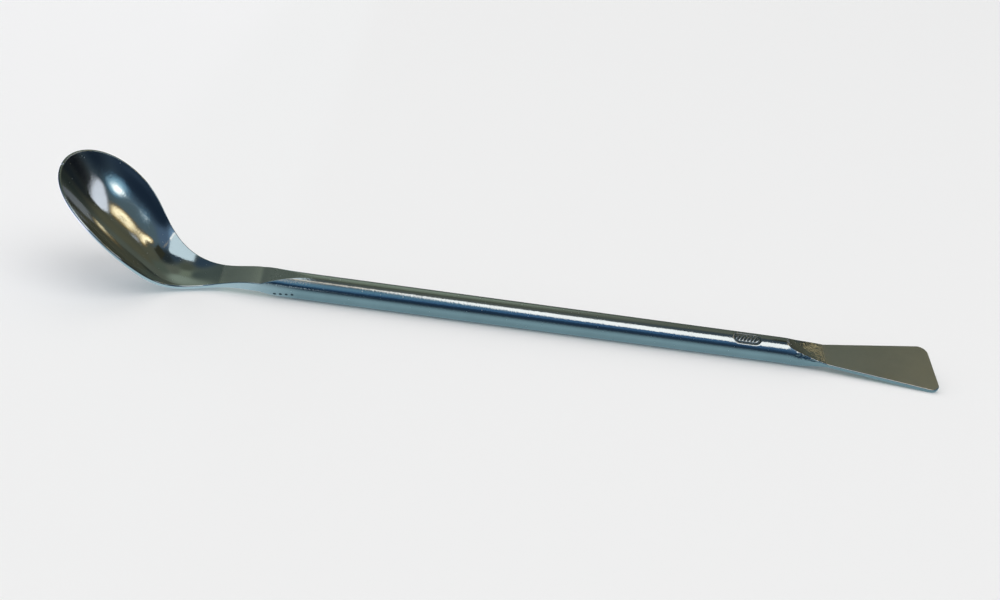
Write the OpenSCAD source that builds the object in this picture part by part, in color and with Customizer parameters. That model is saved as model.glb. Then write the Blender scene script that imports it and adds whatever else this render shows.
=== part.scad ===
// Laboratory spoon spatula: one piece of polished stainless steel, forged from a round rod.
// One end of the rod is pressed to a flat neck, cranked up and drawn into an open egg-shaped bowl.
// The other end is pressed to a thin flat blade that flares to a square end with rounded corners.
// The part lies as it comes to rest, rolled onto its rod and one lower corner of its blade.

/* [Handle] */
// Diameter of the round rod that the tool is forged from
rod_d = 5.4; // [4:0.1:7]
// Length of the rod that stays round between its two pressed ends
handle_len = 97; // [50:1:160]

/* [Neck] */
// Length over which the rod is pressed down to the shoulder of the neck
neck_press_len = 12.5; // [8:0.5:25]
// Width of the shoulder, the widest place of the neck
shoulder_w = 5.7; // [4.8:0.1:7.4]
// Thickness of the shoulder
shoulder_t = 2.1; // [1.2:0.1:3]
// How far the middle of the shoulder lies above the axis of the rod
shoulder_rise = 0.35; // [0:0.05:0.5]
// Length over which the shoulder thins down to the flat neck
neck_taper_len = 10.4; // [6:0.1:16]
// Width of the neck at its narrowest
neck_w = 5.4; // [4.4:0.1:7]
// Thickness of the flat neck
neck_t = 0.8; // [0.6:0.1:1.6]
// How far the middle of the flat neck lies below the axis of the rod
neck_drop = 0.3; // [0:0.05:0.6]
// Length of the flat neck, from the end of its taper to the start of the crank
neck_len = 1.5; // [0:0.1:20]
// How far before the crank the neck starts to widen into the bowl
flare_lead = 7.4; // [2:0.1:7.5]

/* [Bowl] */
// Length of the bowl along its rim, from the start of the crank to the tip
bowl_len = 35.7; // [30:0.1:46]
// Overall width of the bowl at its widest place
bowl_w = 23.9; // [16:0.1:30]
// Length of the rounded tip, from the widest place to the end of the bowl
bowl_tip_len = 14.6; // [10:0.1:17]
// Greatest depth of the bowl below its rim
bowl_depth = 3.9; // [2:0.1:6]
// Thickness of the drawn sheet of the bowl
bowl_t = 0.6; // [0.4:0.1:1.4]
// Angle by which the crank lifts the root of the bowl above the handle
crank_deg = 60; // [20:1:64]
// Radius of the crank
crank_r = 10.2; // [6:0.1:14]
// Angle by which the rim arches back from the root of the bowl to its tip
rim_arch_deg = 29; // [5:1:40]

/* [Blade] */
// Length over which the rod is pressed down to the blade
blade_press_len = 9.3; // [5:0.1:16]
// Length of the flat blade
blade_len = 24.1; // [12:0.1:60]
// Width of the blade at its root
blade_root_w = 6.2; // [5:0.1:9]
// Width of the blade at its square end, before its corners are rounded
blade_w = 13.9; // [10:0.1:20]
// Thickness of the blade
blade_t = 0.8; // [0.6:0.1:1.6]
// Radius of the two corners of the blade
blade_corner_r = 2; // [0.5:0.1:4]

/* [Fineness] */
// Facets across each face of the metal, from one side to the other
face_facets = 16; // [8:2:24]
// Facets round each side of the metal, from its top to its underside
side_facets = 10; // [8:2:16]

// Facets round the rod
rod_facets = 96; // [24:12:144]

/* [Hidden] */

rod_r = rod_d / 2;
// Each pressed end starts a little way inside the rod, and a hair below its surface
seat_depth = 0.5;
seat_inset = 0.03;
// Share of the rod's radius at which a pressed flat begins
flat_start = 0.995;
// Powers of the curves: how late each press bites into the rod, how late the rod spreads into the
// blade, and how square the tip of the bowl is (2 is an ellipse)
neck_press_power = 3.3;
blade_press_power = 0.7;
blade_spread_power = 2;
tip_power = 2.1;
// Share of the tip's length by which the last section stays short of its end
tip_gap = 0.0001;
// Step over which the change of a shape along the metal is measured
step = 0.0001;
// Number of sections along each stretch
neck_press_rings = 12;
neck_rings = 4;
flare_rings = 28;
tip_rings = 11;
blade_press_rings = 12;
corner_rings = 6;

// Stations of the bowl end, measured along its middle line from the end of the round rod
neck_at = neck_press_len + neck_taper_len;
crank_at = neck_at + neck_len;
flare_at = crank_at - flare_lead;
bowl_end_at = crank_at + bowl_len;
widest_at = bowl_end_at - bowl_tip_len;
rim_end_at = bowl_end_at - bowl_t / 2;
root_at = crank_at + crank_r * crank_deg * PI / 180;
arch_r = (bowl_end_at - root_at) * 180 / (PI * rim_arch_deg);

// Stations of the blade end, measured from the other end of the round rod, with the start and
// the centre of its corner arcs
blade_end_at = blade_press_len + blade_len;
flank_slope = (blade_w - blade_root_w) / 2 / blade_len;
flank_deg = atan(flank_slope);
corner_at = blade_end_at - blade_corner_r;
corner_start_at = corner_at - blade_corner_r * sin(flank_deg);
corner_centre_y = flank_half_w(corner_at) - blade_corner_r / cos(flank_deg);

function mix(a, b, t) = a + (b - a) * t;
function share(x, from, to) = max(0, min(1, (x - from) / (to - from)));
function ease(t) = (1 - cos(180 * t)) / 2;
function unit(v) = v / norm(v);

// A shape holds the sizes of one section of the metal, at these places in its list:
// half-width of its face, half-thickness, angle and reach of its rounded sides, depth of its dish
FACE = 0;
HALF_T = 1;
SIDE_DEG = 2;
SIDE_REACH = 3;
DISH = 4;

// A pressed flat keeps the rod's own curve on its two sides
function side_deg(half_t) = asin(half_t / rod_r);
function side_reach(half_t) = rod_r * (1 - cos(side_deg(half_t)));
function pressed_shape(half_w, half_t) =
    [half_w - side_reach(half_t), half_t, side_deg(half_t), side_reach(half_t), 0];
// How far a press has bitten, from the round rod at t = 0 to the pressed metal at t = 1
function bitten(rod_size, pressed_size, power, t) = mix(rod_size, pressed_size, pow(t, power));

// The rod, pressed down to the shoulder, then thinned and drawn in to the neck
function neck_shape(q) =
    let (press = share(q, 0, neck_press_len))
    let (shoulder_half_w = bitten(rod_r - seat_inset, shoulder_w / 2, neck_press_power, press))
    let (shoulder_half_t = bitten(flat_start * rod_r, shoulder_t / 2, neck_press_power, press))
    pressed_shape(
        mix(shoulder_half_w, neck_w / 2, ease(share(q, neck_press_len, flare_at))),
        mix(shoulder_half_t, neck_t / 2, ease(share(q, neck_press_len, neck_at)))
    );
// The widest section of the bowl, with a half-round rim
rim_shape = [(bowl_w - bowl_t) / 2, bowl_t / 2, 90, bowl_t / 2, bowl_depth];
// The neck, widening and sinking into the dish of the bowl
function flare_shape(q) = mix(neck_shape(q), rim_shape, ease(share(q, flare_at, widest_at)));
// The tip of the bowl, where the rim closes and the dish runs out
function tip_shape(q) =
    let (t = share(q, widest_at, rim_end_at))
    let (closing = pow(1 - pow(t, tip_power), 1 / tip_power), rising = 1 - pow(t, 2))
    [rim_shape[FACE] * closing, bowl_t / 2, 90, bowl_t / 2, bowl_depth * rising];
function bowl_shape(q) = q < widest_at ? flare_shape(q) : tip_shape(q);

// The rod, pressed flat and spread to the root of the blade
function spread_shape(q) =
    let (press = share(q, 0, blade_press_len))
    pressed_shape(
        bitten(rod_r - seat_inset, blade_root_w / 2, blade_spread_power, press),
        bitten(flat_start * rod_r, blade_t / 2, blade_press_power, press)
    );
// The flared blade, with its straight flanks and the arcs of its corners
function flank_half_w(q) = blade_root_w / 2 + flank_slope * (q - blade_press_len);
function corner_half_w(q) =
    corner_centre_y + sqrt(max(0, pow(blade_corner_r, 2) - pow(q - corner_at, 2)));
function blade_shape(q) =
    q < blade_press_len ? spread_shape(q)
    : pressed_shape(q < corner_start_at ? flank_half_w(q) : corner_half_w(q), blade_t / 2);

// Middle line of the bowl end as [out, up]: up to the shoulder, down to the neck, up round the
// crank, then over the arch of the rim
function bowl_heading(q) =
    crank_deg * share(q, crank_at, root_at) - rim_arch_deg * share(q, root_at, bowl_end_at);
function bend(radius, from, to) = radius * [sin(to) - sin(from), cos(from) - cos(to)];
function bowl_middle(q) =
    let (rise = bitten(0, shoulder_rise, neck_press_power, share(q, 0, neck_press_len)))
    [min(q, crank_at), mix(rise, -neck_drop, ease(share(q, neck_press_len, neck_at)))]
    + bend(crank_r, 0, crank_deg * share(q, crank_at, root_at))
    + bend(-arch_r, crank_deg, crank_deg - rim_arch_deg * share(q, root_at, bowl_end_at));

// Points of a section as [along the middle line, across it, up from it]. The place across its
// face runs from -1 to 1, and change is the change of its shape per millimetre along the metal.
function face_middle(s, place) = [0, place * s[FACE], s[DISH] * (pow(place, 2) - 1)];
function face_up(s, change, place) =
    let (spread = change[FACE] / s[FACE])
    unit([
        change[DISH] * (1 - pow(place, 2)) + 2 * s[DISH] * spread * pow(place, 2),
        -2 * s[DISH] / s[FACE] * place,
        1
    ]);
function side_out(s, change, edge) =
    let (flank = edge * (change[FACE] + change[SIDE_REACH]))
    edge * cross(face_up(s, change, edge), unit([1, flank, 0]));
function face_point(s, change, place, top) =
    face_middle(s, place) + top * s[HALF_T] * face_up(s, change, place);
function side_point(s, change, edge, angle) =
    let (out = (cos(angle) - cos(s[SIDE_DEG])) / (1 - cos(s[SIDE_DEG])))
    let (up = sin(angle) / sin(s[SIDE_DEG]))
    face_middle(s, edge)
    + out * s[SIDE_REACH] * side_out(s, change, edge)
    + up * s[HALF_T] * face_up(s, change, edge);

// A ring is one section's points in their order round the metal: over its top face, down its
// side, back under its lower face and up its other side
face_places = [for (i = [0:face_facets]) 2 * i / face_facets - 1];
side_shares = [for (k = [1:side_facets - 1]) 1 - 2 * k / side_facets];
function ring(s, change) = [
    for (place = face_places) face_point(s, change, place, 1),
    for (part = side_shares) side_point(s, change, 1, part * s[SIDE_DEG]),
    for (place = face_places) face_point(s, change, -place, -1),
    for (part = side_shares) side_point(s, change, -1, -part * s[SIDE_DEG])
];
// Stands a ring on its place on the middle line, as [out, across, up] from the end of the rod
function placed(ring, middle, heading) = [
    for (p = ring) [
        middle[0] + p[0] * cos(heading) - p[2] * sin(heading),
        p[1],
        middle[1] + p[0] * sin(heading) + p[2] * cos(heading)
    ]
];
function spaced(from, to, count) = [for (i = [1:count]) mix(from, to, i / count)];
function slowing(from, to, count) = [for (i = [1:count]) mix(from, to, sin(90 * i / count))];

bowl_stations = [
    -seat_depth,
    each spaced(0, neck_press_len, neck_press_rings),
    each spaced(neck_press_len, flare_at, neck_rings),
    each spaced(flare_at, widest_at, flare_rings),
    each slowing(widest_at, mix(rim_end_at, widest_at, tip_gap), tip_rings)
];
bowl_rings = [
    for (q = bowl_stations)
        let (s = bowl_shape(q))
        placed(ring(s, (s - bowl_shape(q - step)) / step), bowl_middle(q), bowl_heading(q))
];

blade_stations = [
    -seat_depth,
    each spaced(0, blade_press_len, blade_press_rings),
    corner_start_at,
    each slowing(corner_start_at, blade_end_at, corner_rings)
];
blade_rings = [
    for (q = blade_stations)
        let (s = blade_shape(q))
        placed(ring(s, (s - blade_shape(q - step)) / step), [q, 0], 0)
];

// Closed skin over a row of rings. Each end is closed by two fans, under the top face and over
// the lower one, and by strips from one side of the metal to the other.
ring_size = 2 * (face_facets + side_facets);
under = face_facets + side_facets;
end_faces = [
    for (i = [0:face_facets]) [ring_size - 1, i, i + 1],
    for (i = [under:under + face_facets]) [under - 1, i, i + 1],
    for (i = [face_facets + 1:under - 2]) each [
        [i, i + 1, ring_size + face_facets - i - 1],
        [i, ring_size + face_facets - i - 1, ring_size + face_facets - i]
    ]
];
module skin(rings) {
    points = [for (ring = rings) each ring];
    last = len(points) - ring_size;
    polyhedron(points, [
        for (start = [0:ring_size:last - 1], i = [0:ring_size - 1])
            let (a = start + i, b = start + (i + 1) % ring_size)
            each [[a, b, b + ring_size], [a, b + ring_size, a + ring_size]],
        for (face = end_faces) [face[2], face[1], face[0]],
        for (face = end_faces) face + [last, last, last]
    ]);
}

module handle() {
    rotate([0, 90, 0]) cylinder(h = handle_len, r = rod_r, $fn = rod_facets);
}
module bowl_end() {
    mirror([1, 0, 0]) skin(bowl_rings);
}
module blade_end() {
    translate([handle_len, 0, 0]) skin(blade_rings);
}

// At rest the rod lies on the ground, and the tool is rolled until a corner of its blade does too.
// It is then turned about, so that its bowl points along +X.
turn_deg = 180;
foot = [corner_centre_y + blade_corner_r - side_reach(blade_t / 2), blade_t / 2];
roll = asin(rod_r / norm(foot)) - atan(foot[1] / foot[0]);
all_points = [for (rings = [bowl_rings, blade_rings], ring = rings) each ring];
rolled_y = [for (p = all_points) p[1] * cos(roll) - p[2] * sin(roll)];
rolled_z = [for (p = all_points) p[1] * sin(roll) + p[2] * cos(roll)];
bowl_reach = max([for (ring = bowl_rings, p = ring) p[0]]);
rest_place = [
    (handle_len + blade_end_at - bowl_reach) / 2,
    (min(rolled_y) + max(rolled_y)) / 2,
    max(rod_r, -min(rolled_z))
];

module spatula() {
    color("silver")
        translate(rest_place)
            rotate([roll, 0, turn_deg])
                union() {
                    handle();
                    bowl_end();
                    blade_end();
                }
}

spatula();
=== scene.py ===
"""Laboratory spoon spatula: one piece of polished stainless steel, forged from a round rod.

The tool is made the way a smith makes it. A straight forging is lofted first, with every section of the metal
in its place: the flared blade, the round rod with its stamp, the pressed neck and the drawn bowl. A node tree
then cranks the forging up at the neck and arches its rim, and the finished tool is laid down as it rests.
Sizes are in millimetres, meshes and the studio in metres.
"""

import logging
import math
from dataclasses import dataclass, field
from enum import Enum

import bmesh
import bpy
import numpy as np
from mathutils import Matrix, Vector


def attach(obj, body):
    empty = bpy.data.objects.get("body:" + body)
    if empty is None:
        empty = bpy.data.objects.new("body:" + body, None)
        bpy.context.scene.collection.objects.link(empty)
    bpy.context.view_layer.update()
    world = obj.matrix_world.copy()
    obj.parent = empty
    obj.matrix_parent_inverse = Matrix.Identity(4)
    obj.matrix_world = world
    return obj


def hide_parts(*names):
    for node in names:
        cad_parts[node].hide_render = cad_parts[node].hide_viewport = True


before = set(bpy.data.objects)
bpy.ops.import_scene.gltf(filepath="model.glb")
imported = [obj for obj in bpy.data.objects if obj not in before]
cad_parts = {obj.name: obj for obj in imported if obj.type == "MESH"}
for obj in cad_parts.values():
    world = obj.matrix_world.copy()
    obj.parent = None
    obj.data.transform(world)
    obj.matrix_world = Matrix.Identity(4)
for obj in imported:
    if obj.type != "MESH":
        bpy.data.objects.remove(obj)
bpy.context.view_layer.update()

LOG = logging.getLogger("spatula")
MM = 0.001
TINY = 1e-9
BOWL_MIDDLE = (0.072, -0.002, 0.013)
Array = np.ndarray
Colour = tuple[float, float, float]
Place = tuple[float, float, float]
Face = tuple[int, ...]
Ring = tuple[float, Colour, float]
Spread = tuple[float, float, int]
Socket = bpy.types.NodeSocket
Outputs = bpy.types.NodeOutputs


class Side(Enum):
    """One of the two long sides of the metal, seen from the rod towards an end."""

    LEFT = 1
    RIGHT = -1


class Finish(Enum):
    """Masks that say how the metal is finished at each of its points, and how much darker the stamp's lines
    are painted, by the name of their attribute.
    """

    SATIN = "satin"
    MIRROR = "mirror"
    WRINKLE = "wrinkle"
    STAMP_DARK = "stamp_dark"


def mix(a: Array | float, b: Array | float, t: Array | float) -> Array | float:
    """Blend a into b by t.

    Args:
        a: Value at t = 0.
        b: Value at t = 1.
        t: Share of the way from a to b.

    Returns:
        The blended value.
    """
    return a + (b - a) * t


def share(x: Array | float, start: float, end: float) -> Array:
    """Share of the way that x has gone from start to end, held between 0 and 1.

    Args:
        x: Place along the metal.
        start: Place where the share is 0.
        end: Place where the share is 1.

    Returns:
        The share, of the same shape as x.
    """
    return np.clip((np.asarray(x, float) - start) / (end - start), 0.0, 1.0)


def ease(t: Array | float) -> Array:
    """Share t, slowed at both ends."""
    return (1.0 - np.cos(np.pi * np.asarray(t))) / 2.0


def spaced(start: float, end: float, count: int) -> Array:
    """Places from start to end at even steps, without the first."""
    return mix(start, end, np.arange(1, count + 1) / count)


def slowing(start: float, end: float, count: int) -> Array:
    """Places from start to end that crowd towards the end, without the first."""
    return mix(start, end, np.sin(np.pi / 2 * np.arange(1, count + 1) / count))


def quickening(start: float, end: float, count: int, power: float) -> Array:
    """Places from start to end that crowd towards the start, without the first."""
    return mix(start, end, (np.arange(1, count + 1) / count) ** power)


@dataclass
class Section:
    """Sizes of the metal's section at a row of places along it, each an array with one value a place.

    Attributes:
        face: Half-width of the flat or dished face.
        half_t: Half-thickness.
        side_angle: Angle at which the rounded side starts from the face, in radians.
        reach: How far the rounded side stands out from the face.
        dish: Depth of the face's dish.
    """

    face: Array
    half_t: Array
    side_angle: Array
    reach: Array
    dish: Array

    def stacked(self) -> Array:
        """All five sizes as the rows of one array."""
        sizes = self.face, self.half_t, self.side_angle, self.reach, self.dish
        return np.stack(np.broadcast_arrays(*sizes)).astype(float)


@dataclass(frozen=True)
class Rod:
    """The round rod that the tool is forged from.

    Attributes:
        diameter: Diameter of the rod.
        length: Length that stays round between the two pressed ends.
        rings: Number of rings along the plain rod.
        ring_gap: Least gap between those rings and the finer ones under the stamp.
    """

    diameter: float = 5.4
    length: float = 97.0
    rings: int = 26
    ring_gap: float = 0.5

    @property
    def radius(self) -> float:
        """Half the rod's diameter."""
        return self.diameter / 2

    def pressed(self, half_w: Array, half_t: Array) -> Section:
        """Section of the rod pressed flat, which keeps the rod's own curve on its two sides.

        Args:
            half_w: Half the width of the pressed metal.
            half_t: Half its thickness.

        Returns:
            The pressed section.
        """
        angle = np.arcsin(np.minimum(half_t / self.radius, 1.0))
        reach = self.radius * (1.0 - np.cos(angle))
        return Section(np.maximum(half_w - reach, 0.0), half_t, angle, reach, np.zeros_like(half_t))


@dataclass(frozen=True)
class BowlEnd:
    """The pressed neck and the open bowl drawn from it, at places measured from the end of the round rod.

    Attributes:
        rod: The rod that they are made from.
        press_len: Length over which the rod is pressed into a shoulder.
        press_power: How late the pressing sets in.
        shoulder_w: Width of the shoulder.
        shoulder_t: Thickness of the shoulder.
        shoulder_rise: Height of the shoulder's middle over the rod's axis.
        taper_len: Length over which the shoulder thins into the neck.
        neck_w: Width of the neck.
        neck_t: Thickness of the neck.
        neck_drop: How far the neck's middle lies below the rod's axis.
        neck_len: Length of the full neck before the crank.
        flare_lead: How far before the crank the neck starts to widen.
        length: Length of the bowl end from the crank's start to the tip, along the metal.
        width: Greatest width of the bowl.
        tip_len: Length from the greatest width to the tip.
        tip_power: How full the tip's outline is, where 2 is an ellipse.
        tip_gap: Share of the tip's length that the last ring stays short of its end.
        depth: Depth of the bowl.
        thickness: Thickness of the bowl's metal.
        crank_deg: Angle of the crank.
        crank_r: Radius of the crank.
        arch_deg: Angle of the rim's arch.
        satin_from: Place where the satin of the pressed flats starts.
        polish_from: Place where the mirror polish starts.
        polish_blend: Length over which the satin gives way to it.
        ring_counts: Number of rings on the press, the taper, the flare and the tip.
        crowding: How much the press's rings crowd towards the rod.
    """

    rod: Rod
    press_len: float = 12.5
    press_power: float = 3.3
    shoulder_w: float = 5.7
    shoulder_t: float = 2.1
    shoulder_rise: float = 0.35
    taper_len: float = 10.4
    neck_w: float = 5.4
    neck_t: float = 0.8
    neck_drop: float = 0.3
    neck_len: float = 1.5
    flare_lead: float = 7.4
    length: float = 35.7
    width: float = 23.9
    tip_len: float = 14.6
    tip_power: float = 2.1
    tip_gap: float = 0.00004
    depth: float = 3.9
    thickness: float = 0.6
    crank_deg: float = 60.0
    crank_r: float = 10.2
    arch_deg: float = 29.0
    satin_from: float = 2.0
    polish_from: float = 20.4
    polish_blend: float = 0.5
    ring_counts: tuple[int, int, int, int] = (44, 12, 84, 56)
    crowding: float = 1.25

    @property
    def neck_at(self) -> float:
        """Place where the neck has its full flatness."""
        return self.press_len + self.taper_len

    @property
    def crank_at(self) -> float:
        """Place where the crank starts."""
        return self.neck_at + self.neck_len

    @property
    def flare_at(self) -> float:
        """Place where the neck starts to widen."""
        return self.crank_at - self.flare_lead

    @property
    def end_at(self) -> float:
        """Place of the bowl's tip."""
        return self.crank_at + self.length

    @property
    def widest_at(self) -> float:
        """Place of the bowl's greatest width."""
        return self.end_at - self.tip_len

    @property
    def rim_end_at(self) -> float:
        """Place where the middle of the rim closes at the tip."""
        return self.end_at - self.thickness / 2

    @property
    def root_at(self) -> float:
        """Place where the crank ends and the arch of the rim starts."""
        return self.crank_at + self.crank_r * math.radians(self.crank_deg)

    @property
    def arch_r(self) -> float:
        """Radius of the arch of the rim."""
        return (self.end_at - self.root_at) / math.radians(self.arch_deg)

    def section(self, q: Array) -> Section:
        """Section of the metal at the places q.

        Args:
            q: Places from the end of the round rod.

        Returns:
            The section at each place.
        """
        press = share(q, 0, self.press_len) ** self.press_power
        half_w = mix(mix(self.rod.radius, self.shoulder_w / 2, press), self.neck_w / 2,
                     ease(share(q, self.press_len, self.flare_at)))
        half_t = mix(mix(self.rod.radius, self.shoulder_t / 2, press), self.neck_t / 2,
                     ease(share(q, self.press_len, self.neck_at)))
        neck = self.rod.pressed(half_w, half_t).stacked()
        half = self.thickness / 2
        rim = np.array([self.width / 2 - half, half, math.pi / 2, half, self.depth])[:, None]
        flare = mix(neck, rim, ease(share(q, self.flare_at, self.widest_at)))
        t = share(q, self.widest_at, self.rim_end_at)
        closing = np.maximum(1 - t ** self.tip_power, TINY) ** (1 / self.tip_power)
        tip = Section(rim[0] * closing, rim[1], rim[2], rim[3], rim[4] * (1 - t * t)).stacked()
        return Section(*np.where(q < self.widest_at, flare, tip))

    def rise(self, q: Array) -> Array:
        """Height of the middle line over the rod's axis, before the crank bends it.

        Args:
            q: Places from the end of the round rod.

        Returns:
            The height at each place.
        """
        shoulder = self.shoulder_rise * share(q, 0, self.press_len) ** self.press_power
        return mix(shoulder, -self.neck_drop, ease(share(q, self.press_len, self.neck_at)))

    def places(self) -> Array:
        """Choose where the rings lie.

        Returns:
            Places of the rings from the rod to the tip.
        """
        closed = mix(self.rim_end_at, self.widest_at, self.tip_gap)
        press, taper, flare, tip = self.ring_counts
        return np.concatenate([
            quickening(0, self.press_len, press, self.crowding),
            spaced(self.press_len, self.flare_at, taper),
            spaced(self.flare_at, self.widest_at, flare),
            slowing(self.widest_at, closed, tip),
        ])


@dataclass(frozen=True)
class BladeEnd:
    """The flat blade pressed from the rod's other end, at places measured from there outwards.

    Attributes:
        rod: The rod that it is made from.
        press_len: Length over which the rod is pressed flat.
        press_power: How late the pressing sets in.
        break_len: Length over which its start is rounded off.
        spread_power: How late the metal spreads to the blade's width.
        length: Length of the flat blade.
        root_w: Width of the blade at its root.
        width: Width that the flanks reach at the square end.
        thickness: Thickness of the blade.
        corner_r: Radius of the two corners.
        edge_r: Radius of the edge round the square end.
        root_dish: Depth of the hollow in the root.
        dish_power: How far out the hollow is deepest, where 1 is its middle.
        satin_lead: Length over which the satin starts before the flat.
        wrinkle_from: Places where the root's wrinkles start and are full.
        wrinkle_to: How far before the flat they end and start to end.
        wrinkle_shares: Strength of the wrinkles on the faces and on the sides.
        ring_counts: Number of rings on the press, the flanks, the corners and the edge.
        crowding: How much the press's rings crowd towards the rod.
    """

    rod: Rod
    press_len: float = 9.3
    press_power: float = 0.7
    break_len: float = 1.1
    spread_power: float = 2.0
    length: float = 24.1
    root_w: float = 6.2
    width: float = 13.9
    thickness: float = 0.8
    corner_r: float = 2.0
    edge_r: float = 0.16
    root_dish: float = 0.16
    dish_power: float = 0.8
    satin_lead: float = 1.0
    wrinkle_from: tuple[float, float] = (1.5, 3.0)
    wrinkle_to: tuple[float, float] = (0.5, 3.0)
    wrinkle_shares: tuple[float, float] = (0.3, 1.3)
    ring_counts: tuple[int, int, int, int] = (52, 16, 16, 6)
    crowding: float = 1.3

    @property
    def end_at(self) -> float:
        """Place of the blade's square end."""
        return self.press_len + self.length

    @property
    def flank_slope(self) -> float:
        """How much each flank widens for each millimetre of length."""
        return (self.width - self.root_w) / 2 / self.length

    @property
    def corner_at(self) -> float:
        """Place of the centres of the corner arcs."""
        return self.end_at - self.corner_r

    @property
    def corner_start_at(self) -> float:
        """Place where the corner arcs leave the straight flanks."""
        return self.corner_at - self.corner_r * math.sin(math.atan(self.flank_slope))

    def half_width(self, q: Array) -> Array:
        """Half the width of the blade, with the arcs of its corners.

        Args:
            q: Places from the end of the round rod.

        Returns:
            Half the width at each place.
        """
        flank = self.root_w / 2 + self.flank_slope * (q - self.press_len)
        centre = (self.root_w / 2 + self.flank_slope * (self.corner_at - self.press_len)
                  - self.corner_r / math.cos(math.atan(self.flank_slope)))
        arc = centre + np.sqrt(np.maximum(self.corner_r ** 2 - (q - self.corner_at) ** 2, 0.0))
        return np.where(q < self.corner_start_at, flank, arc)

    def section(self, q: Array) -> Section:
        """Section of the metal at the places q.

        Args:
            q: Places from the end of the round rod.

        Returns:
            The section at each place.
        """
        press = share(q, 0, self.press_len)
        spread = mix(self.rod.radius, self.root_w / 2, press ** self.spread_power)
        half_w = np.where(q < self.press_len, spread, self.half_width(q))
        start = share(q, 0, self.break_len)
        sunk = (self.break_len / self.press_len) ** self.press_power * (
            (2 - self.press_power) * start - (1 - self.press_power) * start ** 2)
        sunk = np.where(q < self.break_len, sunk, press ** self.press_power)
        half_t = mix(self.rod.radius, self.thickness / 2, sunk)
        past = np.maximum(q - (self.end_at - self.edge_r), 0.0)
        eased = self.edge_r - np.sqrt(np.maximum(self.edge_r ** 2 - past ** 2, 0.0))
        metal = self.rod.pressed(half_w - eased, half_t - eased)
        metal.dish = self.root_dish * np.sin(np.pi * press ** self.dish_power) ** 2
        return metal

    def places(self) -> Array:
        """Choose where the rings lie.

        Returns:
            Places of the rings from the rod to the square end.
        """
        edge_at = self.end_at - self.edge_r
        press, flank, corner, edge = self.ring_counts
        return np.concatenate([
            quickening(0, self.press_len, press, self.crowding),
            spaced(self.press_len, self.corner_start_at, flank),
            slowing(self.corner_start_at, edge_at, corner),
            slowing(edge_at, self.end_at, edge),
        ])


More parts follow.
